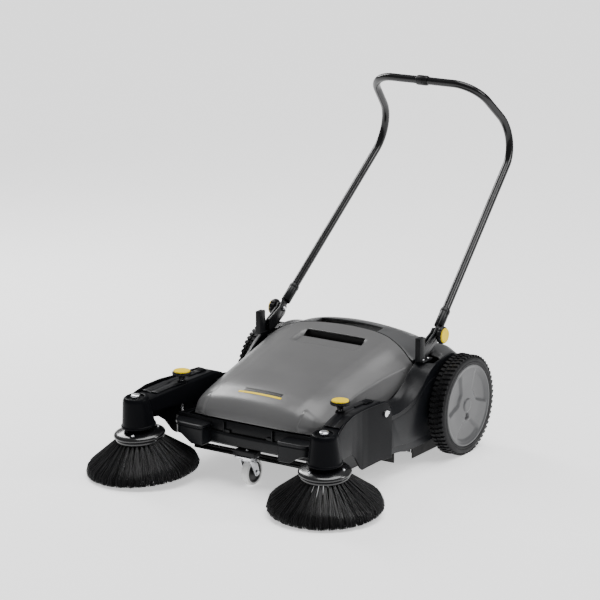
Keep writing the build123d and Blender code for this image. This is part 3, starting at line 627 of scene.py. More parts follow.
def screw_tree():
    """Recessed screw heads on the points of a mesh, each along its stored facing direction."""
    tree, given, out = group("screw_heads", "GeometryNodeTree",
                             [("Geometry", GEOMETRY, None), ("Radius", FLOAT, 0.004),
                              ("Rise", FLOAT, 0.002),
                              ("Recess", FLOAT, 0.5), ("Material", MATERIAL, None)],
                              [("Geometry", GEOMETRY)])
    facing = add(tree, "GeometryNodeInputNamedAttribute", {"Name": "facing"}, data_type="FLOAT_VECTOR")
    aligned = add(tree, "FunctionNodeAlignRotationToVector", {"Vector": facing.outputs["Attribute"]},
                  axis="Z")
    drum = add(tree, "GeometryNodeMeshCylinder", {"Vertices": 18, "Radius": given["Radius"],
                                                  "Depth": given["Rise"]})
    drum.fill_type = "NGON"
    crown = add(tree, "GeometryNodeExtrudeMesh", {"Mesh": drum.outputs[0], "Selection": drum.outputs["Top"],
                                                  "Offset Scale": maths(tree, "MULTIPLY", given["Rise"],
                                                                        0.3)},
                mode="FACES")
    dome = add(tree, "GeometryNodeScaleElements", {"Geometry": crown.outputs[0],
                                                   "Selection": crown.outputs["Top"],
                                                   "Scale": 0.82}, domain="FACE")
    flat = add(tree, "GeometryNodeExtrudeMesh", {"Mesh": dome.outputs[0], "Selection": crown.outputs["Top"],
                                                 "Offset Scale": 0.0}, mode="FACES")
    socket = add(tree, "GeometryNodeScaleElements", {"Geometry": flat.outputs[0],
                                                     "Selection": flat.outputs["Top"],
                                                     "Scale": given["Recess"]}, domain="FACE")
    sunk = add(tree, "GeometryNodeExtrudeMesh", {"Mesh": socket.outputs[0],
                                                 "Selection": flat.outputs["Top"],
                                                 "Offset Scale": maths(tree, "MULTIPLY", given["Rise"],
                                                                       -0.7)},
               mode="FACES")
    on = add(tree, "GeometryNodeInstanceOnPoints", {"Points": given["Geometry"],
                                                    "Instance": sunk.outputs[0],
                                                    "Rotation": aligned.outputs[0]})
    end_tree(tree, on.outputs[0], given, out)
    return tree


def grown(tree, inputs, material, start=None):
    """The plain mesh that a tree makes with these inputs, from a start mesh where it needs one."""
    holder = bpy.data.objects.new("holder", start or bpy.data.meshes.new("holder"))
    bpy.context.scene.collection.objects.link(holder)
    modifier = holder.modifiers.new("nodes", "NODES")
    modifier.node_group = tree
    sockets = {item.name: item.identifier for item in tree.interface.items_tree
               if item.item_type == "SOCKET" and item.in_out == "INPUT"}
    for key, value in {**inputs, "Material": material}.items():
        modifier[sockets[key]] = value
    ready = holder.evaluated_get(bpy.context.evaluated_depsgraph_get())
    mesh = bpy.data.meshes.new_from_object(ready)
    holder.modifiers.clear()
    bpy.data.objects.remove(holder)
    return mesh


def moved_mesh(mesh, matrix, mirrored=False):
    """Place a grown mesh for good, as its mirror image on the right side."""
    mesh.transform(Matrix.Diagonal((-1, 1, 1, 1)) @ matrix if mirrored else matrix)
    if mirrored:
        mesh.flip_normals()
    return mesh


SIDE_BRUSH, ROLLER_BRUSH, LUGS, SCREWS = side_brush_tree(), roller_brush_tree(), lug_tree(), screw_tree()


def screws(name, places, body, finish_name="zinc", radius=4.2, rise=2.0, mirrored=False):
    """Screw heads at (point, direction) places, in millimetres."""
    start = bpy.data.meshes.new("places")
    sign = -1 if mirrored else 1
    start.from_pydata([(sign * x * MM, y * MM, z * MM) for (x, y, z), _ in places], [], [])
    facing = start.attributes.new("facing", "FLOAT_VECTOR", "POINT")
    facing.data.foreach_set("vector", [c for _, (x, y, z) in places for c in (sign * x, y, z)])
    material = MATERIALS[finish_name]
    mesh = grown(SCREWS, {"Radius": radius * MM, "Rise": rise * MM, "Recess": 0.5}, material, start)
    shade(mesh, 40)
    return put(mesh, name, body, ())


# ---------------------------------------------------------------- front hood
# Cross sections of the hood from its front edge to the seam, each from the middle to the foot of the side.
HOOD = [
    [(0, -414, 181), (90, -411, 180), (140, -405, 178), (172, -396, 176), (192, -386, 173),
     (200, -378, 169)],
    [(0, -408, 203), (90, -405, 201), (140, -398, 196), (174, -389, 189), (196, -378, 180),
     (204, -370, 169)],
    [(0, -390, 228), (90, -388, 225), (140, -383, 217), (178, -374, 203), (202, -364, 187),
     (209, -358, 169)],
    [(0, -339, 252), (90, -339, 249), (140, -339, 241), (180, -339, 226), (212, -339, 198),
     (218, -339, 168)],
    [(0, -214, 279), (95, -214, 277), (135, -214, 273), (179, -214, 260), (215, -214, 238),
     (229, -214, 180)],
    [(0, -94, 304), (100, -94, 303), (140, -94, 300), (182, -94, 290), (227, -94, 261), (244, -94, 198)],
    [(0, 26, 331), (100, 26, 331), (150, 22, 328), (197, 16, 315), (243, 10, 276), (254, 8, 244)],
    [(0, 93, 346.5), (100, 83, 344), (150, 69, 338), (199, 55, 321), (246, 44, 283), (255, 42, 254)],
]
HOOD_SOFT, HOOD_COUNTS = [0.5, 0.45, 0.19, 0.5, 0.1, 0], [16, 10, 9, 14, 6, 0]
SLOT_HALF, SLOT_FRONT, SLOT_REAR = 98.0, 11.0, 37.0
DISH_DEPTH, DISH_FRONT = 10.0, -40.0


def section_columns(rails, soft, counts):
    """Columns across each row: the section is rounded at each rail by its softness and straight between."""
    columns = [rails[:, 0]]
    last = rails.shape[1] - 1
    for i in range(1, last):
        here = rails[:, i]
        start = here + soft[i] * (rails[:, i - 1] - here)
        stop = here + soft[i] * (rails[:, i + 1] - here)
        before = columns[-1]
        gap = np.linalg.norm(start - before, axis=1).max()
        straight = int(np.ceil(gap / 8.0)) if gap > 0.5 else 0
        columns += [before + (start - before) * t for t in np.linspace(0, 1, straight + 1)[1:]]
        for t in np.linspace(0, 1, counts[i] + 1)[1 if straight or i > 1 else 0:]:
            columns.append((1 - t) ** 2 * start + 2 * t * (1 - t) * here + t**2 * stop)
    before, end = columns[-1], rails[:, last]
    columns += [before + (end - before) * t for t in np.linspace(0, 1, 9)[1:]]
    return np.stack(columns, axis=1)


def full_surface(stations, rows_y, soft, counts):
    """Both halves of a smooth surface through half sections, with its rows placed by rows_y(middle rail)."""
    half = np.array(stations, float)
    knots = run_lengths(half[:, 0])
    fine = np.linspace(0, 1, 600)
    middle = through(half[:, 0], fine, knots)
    measure = rows_y(middle)
    shares = np.interp(measure[1], measure[0], fine)
    rails = np.stack([through(half[:, k], shares, knots) for k in range(half.shape[1])], axis=1)
    other = rails[:, :0:-1].copy()
    other[:, :, 0] *= -1
    both = np.concatenate([other, rails], axis=1)
    mirrored_soft = soft[:0:-1] + soft
    mirrored_counts = counts[:0:-1] + counts
    return section_columns(both, mirrored_soft, mirrored_counts)


def hood_rows(middle):
    """Even steps round the nose, then rows by y that hit the slot's two edges."""
    length = run_lengths(middle)
    nose_end = np.interp(-300, middle[:, 1], length)
    nose = np.linspace(0, nose_end, 34)[:-1]
    top_y = np.concatenate([np.linspace(-300, SLOT_FRONT, 60)[:-1],
                            np.linspace(SLOT_FRONT, SLOT_REAR, 6)[:-1],
                            np.linspace(SLOT_REAR, middle[-1, 1], 11)])
    return length, np.concatenate([nose, np.interp(top_y, middle[:, 1], length)])


def hood_relief(grid):
    """Press the finger dish in front of the slot, the corner bulges and their seam lines into the hood."""
    x, y, z = grid[..., 0], grid[..., 1], grid[..., 2]
    side = np.abs(x)
    dish = ease(y, DISH_FRONT, DISH_FRONT + 16) * (1 - ease(y, SLOT_FRONT, SLOT_REAR)) * ease(-side, -110,
                                                                                              -99)
    z -= DISH_DEPTH * dish
    bulge = ease(side, 150, 158) * ease(-side, -214, -186) * ease(-y, 345, 368) * ease(z, 178, 188)
    z += 5.0 * bulge
    y -= 2.5 * bulge
    line = np.exp(-((side - 150 - 0.12 * (z - 178)) / 1.8) ** 2) * ease(-y, 368, 380)
    y += 1.6 * line
    return np.stack([x, y, z], axis=-1)


def snap_columns(grid, row_front, row_rear, half):
    """Move the columns nearest the slot's ends onto them, and return those columns."""
    row = (row_front + row_rear) // 2
    left = int(np.argmin(np.abs(grid[row, :, 0] + half)))
    right = int(np.argmin(np.abs(grid[row, :, 0] - half)))
    reach = ease(np.arange(len(grid)), row_front - 8, row_front) * (
        1 - ease(np.arange(len(grid)), row_rear, row_rear + 6))
    for column, sign in ((left, -1), (right, 1)):
        grid[:, column, 0] += (sign * half - grid[:, column, 0]) * reach
    return left, right


hood_grid = full_surface(HOOD, hood_rows, HOOD_SOFT, HOOD_COUNTS)
slot_row_front = int(np.argmin(np.abs(hood_grid[:, hood_grid.shape[1] // 2, 1] - SLOT_FRONT)))
slot_row_rear = int(np.argmin(np.abs(hood_grid[:, hood_grid.shape[1] // 2, 1] - SLOT_REAR)))
slot_left, slot_right = snap_columns(hood_grid, slot_row_front, slot_row_rear, SLOT_HALF)
hood_grid = hood_relief(hood_grid)


def hood_shell():
    bm = woven(hood_grid, hole=lambda r,
               c: slot_row_front <= r < slot_row_rear and slot_left <= c < slot_right)
    look_out(bm, Vector((0, -100, 0)))
    return rounded(thicken(bm, 3.2), 0.9, 2, 55)


def look_out(bm, inside):
    """Turn all faces of an open shell away from a point inside it."""
    bm.normal_update()
    vote = sum(f.normal.dot(f.calc_center_median() - inside) for f in bm.faces)
    if vote < 0:
        bmesh.ops.reverse_faces(bm, faces=bm.faces)
        bm.normal_update()


def grip_pocket():
    """Open box under the hood's slot that stops the fingers. Its black finish is painted shade inside the slot."""
    rows = []
    for drop, inset in ((0, 0), (28, 5)):
        loop = [(-SLOT_HALF - 5 + inset, SLOT_FRONT - 4, 309 - drop),
                (SLOT_HALF + 5 - inset, SLOT_FRONT - 4, 309 - drop),
                (SLOT_HALF + 5 - inset, SLOT_REAR + 4, 328 - drop),
                (-SLOT_HALF - 5 + inset, SLOT_REAR + 4, 328 - drop)]
        rows.append(loop)
    bm = woven(rows, around=True)
    bm.verts.ensure_lookup_table()
    bm.faces.new([bm.verts[i] for i in (4, 5, 6, 7)])
    bmesh.ops.recalc_face_normals(bm, faces=bm.faces)
    look_out(bm, Vector((0, 24, 320)))
    return rounded(thicken(bm, 2.0), 0.8, 2, 50)


piece("container_hood_shell", [hood_shell()], "hood_grey", "container", ["container_hood"])
# painted shade: the grip pocket is black where the hood-grey pocket lies in shade under the slot
piece("hood_grip_pocket_painted_shade", [grip_pocket()], "trim_black", "container")

hood_finder = BVHTree.FromPolygons([tuple(p) for p in hood_grid.reshape(-1, 3)],
                                   [(r * hood_grid.shape[1] + c, r * hood_grid.shape[1] + c + 1,
                                     (r + 1) * hood_grid.shape[1] + c + 1, (r + 1) * hood_grid.shape[1] + c)
                                    for r in range(len(hood_grid) - 1) for c in range(hood_grid.shape[1] - 1)])


def trim_strip(x0, x1, y0, y1, rise):
    """Thin strip that lies on the hood between two y lines."""
    top = []
    for y in np.linspace(y0, y1, 4):
        row = []
        for x in np.linspace(x0, x1, 40):
            spot = hood_finder.ray_cast(Vector((x, y, 600)), Vector((0, 0, -1)))[0]
            row.append((x, y, spot.z + rise))
        top.append(row)
    bm = woven(top)
    look_out(bm, Vector((0, y0, 0)))
    return rounded(thicken(bm, rise + 0.4), 0.25, 2, 50)


piece("hood_stripe_yellow", [trim_strip(-70, 70, -353, -346, 0.7)], "knob_yellow", "container")
piece("hood_stripe_black", [trim_strip(-58, 66, -343.5, -331, 0.5)], "trim_black", "container")

# ---------------------------------------------------------------- rear cover
COVER = [
    [(0, 95.5, 347.8), (100, 85.5, 345), (150, 71.5, 339), (200, 57.5, 322), (246, 46, 286),
     (289, 46, 272), (289, 46, 250)],
    [(0, 119, 350.5), (100, 119, 345), (150, 119, 336), (200, 119, 318), (247, 119, 296), (289, 127, 284),
     (289, 127, 248)],
    [(0, 150, 350), (100, 150, 343), (150, 150, 333), (200, 150, 315), (249, 150, 305), (289, 150, 289),
     (289.5, 150, 245)],
    [(0, 200, 338), (100, 200, 330), (150, 200, 319), (200, 200, 304), (250, 200, 303), (288, 200, 284),
     (289.5, 200, 225)],
    [(0, 240, 314), (100, 240, 306), (150, 240, 298), (200, 240, 288), (250, 240, 286), (288, 240, 262),
     (289.5, 240, 195)],
    [(0, 282, 262), (100, 282, 258), (150, 282, 252), (200, 281, 246), (250, 280, 236), (286, 277, 210),
     (289.5, 274, 150)],
    [(0, 294, 200), (100, 294, 198), (150, 294, 194), (200, 293.5, 188), (250, 292, 176), (283, 286, 158),
     (289, 280, 115)],
    [(0, 296, 86), (100, 296, 86), (150, 296, 86), (200, 295.5, 85), (250, 294, 84), (282, 288, 82),
     (289, 281, 80)],
]
COVER_SOFT, COVER_COUNTS = [0.5, 0.42, 0.3, 0.45, 0.35, 0.25, 0], [14, 10, 7, 8, 8, 8, 0]
NOTCH_HALF, NOTCH_REAR = 104.0, 119.0


def cover_rows(middle):
    """Rows by length along the middle, with one on the notch's rear edge."""
    length = run_lengths(middle)
    notch = np.interp(NOTCH_REAR, middle[:, 1], length)
    return length, np.concatenate([np.linspace(0, notch, 6)[:-1], np.linspace(notch, length[-1], 66)])


cover_grid = full_surface(COVER, cover_rows, COVER_SOFT, COVER_COUNTS)
notch_row = 5
notch_left, notch_right = snap_columns(cover_grid, 0, notch_row, NOTCH_HALF)


def cover_relief(grid):
    """A raised lip round the notch and a shallow step across the top behind it."""
    x, y, z = grid[..., 0], grid[..., 1], grid[..., 2]
    side = np.abs(x)
    z += 2.5 * ease(-side, -128, -108) * ease(-y, -150, -124) * ease(y, 100, 119)
    z -= 3.0 * ease(-side, -170, -158) * ease(y, 158, 166) * (1 - ease(y, 214, 224))
    return np.stack([x, y, z], axis=-1)


cover_grid = cover_relief(cover_grid)


def cover_shell():
    def cut(r, c):
        spot = (cover_grid[r, c] + cover_grid[r + 1, c + 1]) / 2
        notch = r < notch_row and notch_left <= c < notch_right
        return notch or (abs(spot[0]) > 247 and spot[1] < 127)
    bm = woven(cover_grid, hole=cut)
    look_out(bm, Vector((0, 150, 150)))
    return rounded(thicken(bm, 3.2), 0.9, 2, 55)


# The rear cover takes the darker copy of hood_grey: painted shade.
piece("rear_cover_shell", [cover_shell()], "cover_grey_painted_shade", "chassis", ["rear_cover"])

# ---------------------------------------------------------------- side panels and fenders
FENDER_LINES = [
    (262, [(-160, 222), (-142, 219), (-99, 214), (-27, 246), (6, 272), (34, 288), (46, 291)]),
    (279, [(-160, 219), (-142, 214), (-99, 208), (-27, 230), (6, 252), (34, 274), (60, 286)]),
    (299, [(-160, 185), (-142, 183), (-77, 188), (-24, 204), (13, 229), (55, 263), (87, 279)]),
]
PANEL = [(-160, 68), (-136, 72), (-94, 67), (-67, 60.5), (-25, 59), (40, 59), (140, 60), (250, 60),
         (300, 120), (300, 230), (250, 268), (180, 288), (110, 281), (87, 277), (55, 261), (13, 227),
         (-24, 202),
         (-77, 186), (-142, 181), (-160, 183)]


def side_panel():
    shares = np.linspace(0, 1, 60)
    lines = [through([(x, y, z) for y, z in line], shares) for x, line in FENDER_LINES]
    across = np.stack([through(row, np.linspace(0, 1, 12)) for row in np.stack(lines, axis=1)])
    fender = woven(across)
    look_out(fender, Vector((200, 0, 60)))
    plate = rounded(prism(PANEL, panel_high.x - 9.5, panel_high.x - 3), 1.0, 3)
    swage = rounded(prism([(y * 0.86 - 6, 136 + (z - 136) * 0.72) for y, z in PANEL],
                          panel_high.x - 4, panel_high.x - 2.2), 0.7, 2)
    return [rounded(thicken(fender, 3.6), 1.2, 3, 55), plate, swage]


pair("side_panel_skin", side_panel, "fender_black", "chassis", ["side_panel_{}"])

# ---------------------------------------------------------------- chassis, bumper
BUMPER_HALF, BUMPER_FRONT, LEDGE = 124.0, -417.0, 141.0


def bumper_bar():
    """Curved bar with a rounded ledge, made of cross sections from side to side."""
    rows = []
    for x in np.linspace(-BUMPER_HALF, BUMPER_HALF, 41):
        front = BUMPER_FRONT + 6 * (x / BUMPER_HALF) ** 2
        section = [(-403, 108), (front + 3, 108), (front, 111), (front, LEDGE - 8),
                   (front + 0.8, LEDGE - 3),
                   (front + 3.5, LEDGE), (front + 7, LEDGE + 0.6), (front + 8.5, LEDGE - 2),
                   (-403, LEDGE - 3)]
        rows.append([(x, y, z) for y, z in section])
    return woven(rows, around=True, caps=True)


def bumper_parts():
    parts = [bumper_bar()]
    for side in (-1, 1):
        parts.append(rounded(prism([(side * 78.5, -410), (side * 81.5, -410), (side * 81.5, -402.5),
                                    (side * 78.5, -402.5)], 139, 170, "z"), 0.6, 2))
        parts.append(rounded(prism([(side * 60, -409), (side * 79, -409), (side * 79, -402.5),
                                    (side * 60, -402.5)],
                                   139, 150, "z"), 1.5, 2))
    return parts


piece("front_bumper_skin", bumper_parts(), "chassis_black", "chassis", ["front_bumper"])


def rounded_plan(points, radii):
    """Plan outline with its inner points rounded."""
    return [(p.x, p.y) for p in rounded_path([(x, y, 0) for x, y in points], radii, 2.0)]


def tub_corner():
    """Rounded block that joins the bumper to the tub's side, with a proud rim round its top."""
    line = [(124, -403), (124, -450), (214, -446), (236, -402), (236.5, -330)]
    outer = rounded_plan(line, [7, 30, 30])
    rows = []
    for grow, z in ((-2, 104), (0, 106), (0, 148), (-2.2, 150.5), (-2.2, 152.5), (1.4, 154), (2.2, 156),
                    (1.6, 160),
                    (-1, 161.5), (-4, 161.5)):
        row = []
        for i, (x, y) in enumerate(outer):
            ahead = Vector(outer[min(i + 1, len(outer) - 1)]) - Vector(outer[max(i - 1, 0)])
            out = Vector((-ahead.y, ahead.x)).normalized() * -grow
            row.append((x + out.x, y + out.y, z + max(0, 128 - z) * ease(x, 160, 200)))
        rows.append(row)
    closed = [row + [(232.5, -330, row[-1][2]), (228, -386, row[-1][2]),
                     (205, -403, row[-1][2])] for row in rows]
    return [woven(closed, around=True, caps=True)]


pair("tub_corner_block", tub_corner, "fender_black", "chassis")
piece("chassis_tub_body", [from_cad("chassis_tub", 1.0)], "chassis_black", "chassis", ["chassis_tub"])

# ---------------------------------------------------------------- side brush arms
ARM_IN = [(-172, 248), (-340, 248), (-500, 278)]
ARM_OUT = [(-172, 306), (-290, 306), (-320, 307.5), (-350, 311), (-385, 317), (-430, 326), (-470, 334),
           (-492, 338),
           (-500, 338)]
ARM_TOP = [(-172, 229), (-190, 236), (-212, 240.5), (-345, 240.5), (-392, 235.5), (-500, 223)]
SKIRT_TOP = [(-164, 190), (-170, 216), (-182, 232), (-206, 241), (-252, 243.5), (-377, 246), (-430, 240),
             (-468, 228),
             (-486, 218)]
SKIRT_FOOT = [(-164, 72), (-224, 78), (-316, 77), (-331, 87), (-361, 124), (-386, 141), (-406, 143),
              (-486, 150)]


def between(line, y):
    """Value of a line of (y, value) points at y."""
    line = sorted(line)
    return float(np.interp(y, [p[0] for p in line], [p[1] for p in line]))


def arm_beam():
    rows = []
    for y in np.concatenate([np.linspace(-172, -212, 6), np.linspace(-225, -500, 34)]):
        left, right, top = between(ARM_IN, y), between(ARM_OUT, y), between(ARM_TOP, y)
        foot = 178 + 6 * float(ease(np.array(-y), 300, 400))
        arc = [(1 - cos(a), 1 - sin(a)) for a in np.linspace(0, pi / 2, 6)]
        section = [(left, foot)] + [(left + 8 * u, top - 8 * v) for u, v in arc]
        section += [(right - 8 * u, top - 8 * v) for u, v in reversed(arc)] + [(right, foot)]
        rows.append([(x, y, z) for x, z in section])
    return woven(rows, around=True, caps=True)


def arm_skirt():
    """Outer skirt that follows the beam's outer side from the pivot to the head."""
    rows = []
    for y in np.concatenate([np.linspace(-164, -206, 10), np.linspace(-214, -486, 60)]):
        x = between(ARM_OUT, y) + 0.2
        top, foot = between(SKIRT_TOP, y), between(SKIRT_FOOT, y)
        middle = 0.5 * (top + foot)
        rows.append([(x, y, foot), (x + 1.5, y, middle), (x, y, top), (x + 4.5, y, top), (x + 6, y, middle),
                     (x + 4.5, y, foot)])
    return rounded(woven(rows, around=True, caps=True), 1.3, 3, 50)


def skirt_bead():
    """Rounded bead along the top edge of the skirt."""
    line = []
    for y in np.linspace(-170, -484, 70):
        line.append((between(ARM_OUT, y) + 3.4, y, between(SKIRT_TOP, y) - 0.6))
    return tube(line, 2.6, 12)


def arm_head():
    """Tapered boss round the spindle, with a lip at its foot and a recess at its top."""
    profile = [(9, 112), (47, 112), (48.6, 113), (48.8, 116), (47.6, 118), (45.8, 119), (45, 122),
               (37.5, 184),
               (36.2, 190), (33.8, 194.5), (30.5, 197), (27, 197.4), (24.5, 196.4), (23.5, 193),
               (22, 191.5),
               (9, 191.5)]
    return lathe(spindle_foot, spindle_up, profile, 96, ring=True)


def arm_parts():
    latch = [(-262, 241), (-262, 246), (-250, 250), (-232, 250), (-226, 244), (-218, 243), (-218, 240)]
    rear_boss = lathe((arm_low.x - 0.6, arm_pivot.y, arm_pivot.z), (1, 0, 0),
                      [(7, 0), (19, 0), (20.5, 1.2), (21, 3), (21, 14), (7, 14)], 64, ring=True)
    collar = lathe((height_knob.x, height_knob.y, 238), (0, 0, 1),
                   [(4.6, 0), (13, 0), (13, 4.5), (11.5, 7.5), (9.5, 8), (8, 6), (4.6, 6)], 48, ring=True)
    hook = rounded(prism([(-216, 196), (-196, 206), (-176, 204), (-166, 196), (-176, 188), (-200, 186)],
                         300, 306), 1.2, 2)
    return [arm_beam(), arm_skirt(), skirt_bead(), arm_head(), rear_boss, collar,
            rounded(prism(latch, 268, 288), 1.2, 2), hook]


def arm_cover():
    """Strip along the top of the arm: two raised bands, with a groove between them towards the head."""
    rows = []
    for y in np.concatenate([np.linspace(-209, -345, 16), np.linspace(-350, -452, 16)]):
        left, right, top = between(ARM_IN, y) + 5, between(ARM_OUT, y) - 5, between(ARM_TOP, y) + 0.4
        fork = float(ease(np.array(-y), 358, 372))
        deep, high = 3.0 * fork, 1.2 + 1.8 * fork
        wide = right - left
        outline = [(0, 0), (0, high), (0.04, high + 1), (0.34, high + 1), (0.38, high),
                   (0.42, high - deep + 0.6),
                   (0.58, high - deep + 0.6), (0.62, high), (0.66, high + 1), (0.96, high + 1), (1, high),
                   (1, 0)]
        rows.append([(left + u * wide, y, top + h) for u, h in outline])
    slot_bar = rounded(prism([(272, -300), (279, -300), (279, -232), (272, -232)], 241, 246.5, "z"), 1.2, 2)
    return [rounded(woven(rows, around=True, caps=True), 0.5, 2, 40), slot_bar]


# The arm housing takes the darker copy of chassis_black: painted shade.
pair("arm_housing_shell", arm_parts, "arm_black", "arm_{}", ["arm_housing_{}"])
pair("arm_cover_strip", arm_cover, "fender_black", "arm_{}", ["arm_cover_{}"])
for side in SIDES:
    screws(f"arm_screws_{side}", [((312.4, -186, 207), (1, 0, 0))],
           f"arm_{side}", "zinc", 4.6, 2.4, side == "right")

# ---------------------------------------------------------------- side brushes


def brush_plate():
    """Glossy domed disc with a rolled rim, and the ring that holds the tufts under it."""
    dome = [(8.2, 106), (30, 106), (33, 104.5), (42, 103), (50, 100.5), (62, 97.5), (68, 95), (71.2, 92),
            (72, 88.5),
            (71, 85.6), (68.5, 84.8), (66.5, 83.6), (8.2, 83.6)]
    ring = [(8.2, 83.6), (62, 83.6), (65.5, 82.8), (67, 80), (66.6, 76.2), (64, 74.6), (30, 75.5),
            (8.2, 79.4)]
    nose = [(8.2, 109), (24, 109), (28, 108), (30, 106), (30, 105), (8.2, 105)]
    return [lathe(spindle_foot, spindle_up, profile, 120, ring=True) for profile in (dome, ring, nose)]


def on_spindle(radius, height, turn):
    """Point and direction on the brush plate, at a radius, height and angle about the spindle."""
    turn_matrix = spindle_up.to_track_quat("Z", "X").to_matrix()
    spot = spindle_foot + turn_matrix @ Vector((radius * cos(turn), radius * sin(turn), height))
    return tuple(spot), tuple(spindle_up)


pair("brush_plate_disc", brush_plate, "plate_black", "side_brush_{}", ["brush_plate_{}"], 50)


def spindle_cap():
    """Bright domed nut on top of the spindle."""
    nut = [(0, 203.6), (5, 203.5), (9, 203), (12.2, 201.8), (13, 200.5), (13, 198), (12, 197.6),
           (8, 197.6), (8, 76),
           (0, 76)]
    return [lathe(spindle_foot, spindle_up, nut, 64)]


pair("spindle_with_cap", spindle_cap, "zinc", "side_brush_{}", ["brush_spindle_{}"], 50)

spindle_matrix = Matrix.Translation(spindle_foot * MM) @ spindle_up.to_track_quat("Z",
                                                                                  "X").to_matrix().to_4x4()
BRISTLE_LAYERS = {
    "outer": {"Strands": 4600, "Tufts": 34, "Root radius": 0.052, "Root band": 0.010, "Rim radius": 0.140,
              "Rim band": 0.017, "Bend height": 0.004, "Seed": 11},
    "inner": {"Strands": 3800, "Tufts": 26, "Root radius": 0.036, "Root band": 0.014, "Rim radius": 0.116,
              "Rim band": 0.030, "Bend height": 0.0, "Seed": 23},
}
for side in SIDES:
    for layer, sizes in BRISTLE_LAYERS.items():
        inputs = {**sizes, "Root height": 0.079, "Tip height": -0.0115, "Thickness": 0.00055}
        mesh = grown(SIDE_BRUSH, inputs, MATERIALS["bristle_black"])
        moved_mesh(mesh, spindle_matrix, side == "right")
        put(mesh, f"side_brush_{layer}_bristles_{side}", f"side_brush_{side}",
            [f"brush_bristles_{side}"])
    places = [on_spindle(52, 101.2, tau * k / 3 + 0.35) for k in range(3)]
    screws(f"brush_plate_screws_{side}", places, f"side_brush_{side}", "zinc", 5.0, 3.0, side == "right")

# ---------------------------------------------------------------- knobs


def lobes(count, depth):
    """Radius factor of a knob with scallops cut round its rim."""
    return lambda angle: 1 - depth * max(0.0, cos(count * angle)) ** 3


def height_knob_body():
    disc = [(4.2, 262), (23, 262), (25.6, 262.6), (27, 264.5), (27.4, 267), (27, 269.6), (25.4, 271.6),
            (23.4, 272),
            (4.2, 272)]
    stem = [(4.2, 250), (8.2, 250), (9, 251), (9, 256), (11, 259), (16, 262.4), (4.2, 262.4)]
    place = (height_knob.x, height_knob.y, 0)
    return [lathe(place, (0, 0, 1), disc, 144, lobes(12, 0.05), True),
            lathe(place, (0, 0, 1), stem, 64, ring=True)]


def height_knob_face():
    face = [(0, 274.4), (8, 274.6), (15, 274.8), (17, 275.6), (20, 275.9), (22.4, 275.2), (23.5, 273.6),
            (23.5, 271.6),
            (0, 271.6)]
    return [lathe((height_knob.x, height_knob.y, 0), (0, 0, 1), face, 72)]


pair("height_knob_grip", height_knob_body, "knob_black", "height_knob_{}", ["height_knob_{}"])
pair("height_knob_face", height_knob_face, "knob_yellow", "height_knob_{}", ["height_knob_cap_{}"])


def height_spindle():
    """Threaded spindle: a row of shallow crests."""
    profile = [(0, 255), (3.6, 255)]
    z = 254.0
    while z > 152:
        profile += [(4.0, z), (3.4, z - 0.75)]
        z -= 1.5
    profile += [(3.2, 150.5), (0, 150)]
    return [lathe((height_knob.x, height_knob.y, 0), (0, 0, 1), profile, 24)]


pair("height_spindle_thread", height_spindle, "steel", "height_knob_{}", ["height_spindle_{}"])


def clamp_knob():
    """Lobed clamping knob with its bolt through the hinge."""
    grip = [(0, 277), (19, 277), (22.5, 278), (24.6, 280.5), (25, 284), (24.6, 288.5), (23, 291),
            (20.6, 292), (0, 292)]
    neck = [(0, 270.5), (10, 270.5), (11, 271.4), (11, 275), (14, 278), (0, 278)]
    return [on_axle(clamp, grip, 144, lobes(8, 0.09)), on_axle(clamp, neck, 144)]


def clamp_face():
    face = [(0, 294.6), (9, 294.8), (15, 295.2), (18.6, 295.6), (20.4, 294.6), (21, 293), (21, 291.6),
            (0, 291.6)]
    return [on_axle(clamp, face, 72)]


def clamp_bolt():
    bolt = [(0, 246.6), (3.5, 246.8), (6.2, 247.6), (7, 249.5), (7, 253.5), (4, 253.5), (4, 277), (0, 277)]
    return [on_axle(clamp, bolt, 48)]


pair("clamp_knob_grip", clamp_knob, "knob_black", "clamp_knob_{}", ["clamp_knob_{}"])
pair("clamp_knob_bolt", clamp_bolt, "zinc", "clamp_knob_{}")
pair("clamp_knob_face", clamp_face, "knob_yellow", "clamp_knob_{}", ["clamp_knob_cap_{}"])

# ---------------------------------------------------------------- wheels
RIM_R = 118.0
LOBE_DEPTH = 5.0


def tyre():
    profile = [(RIM_R, 306), (121, 304.4), (131, 304), (136.6, 305.4), (139.6, 308.2), (140.2, 314),
               (139.0, 320),
               (139.0, 336), (140.2, 342), (139.6, 347.8), (136.6, 350.6), (131, 352), (126.8, 351.8),
               (125.8, 350.8),
               (124.6, 351.6), (121, 351.4), (RIM_R, 350)]
    return [on_axle(wheel, profile, 160, ring=True)]


def rim_face(radius, angle):
    """Outer face of the rim: a dished disc with three broad raised spokes and soft pockets between them."""
    dish = 346.5 + 2.5 * ease(radius, 60.0, 110.0) + 3.2 * ease(radius, 108.0, 113.0)
    if radius > 116.4:
        dish -= 1.2 * (radius - 116.4)
    pocket = 0.0
    for k in range(3):
        centre = radians(30 + 120 * k)
        off = abs((angle - centre + pi) % tau - pi)
        pocket += float(ease(-off * radius, -0.86 * radius + 16, -0.86 * radius + 30)
                        * ease(radius, 40.0, 54.0) * (1 - ease(radius, 96.0, 108.0)))
    hub = 3.0 * (1 - float(ease(radius, 17.0, 21.0)))
    notch = float(ease(-abs(radius - 33), -9, -5) * ease(-abs((angle + pi / 2 + pi) % tau - pi), -0.34,
                                                         -0.22))
    return float(dish) - LOBE_DEPTH * pocket + hub - 6.0 * notch


def rim_disc():
    """Rim face as a polar grid, closed at the back."""
    radii = np.concatenate([[0.01], np.linspace(6, 112, 44), np.linspace(113, RIM_R - 0.3, 8)])
    rows = []
    for i in range(192):
        angle = tau * i / 192
        face = [(rim_face(r, angle), wheel.y + r * cos(angle), wheel.z + r * sin(angle)) for r in radii]
        back = [(334.0, wheel.y + r * cos(angle), wheel.z + r * sin(angle)) for r in (RIM_R - 0.3, 0.01)]
        rows.append(face + back)
    return woven(rows, looped=True)


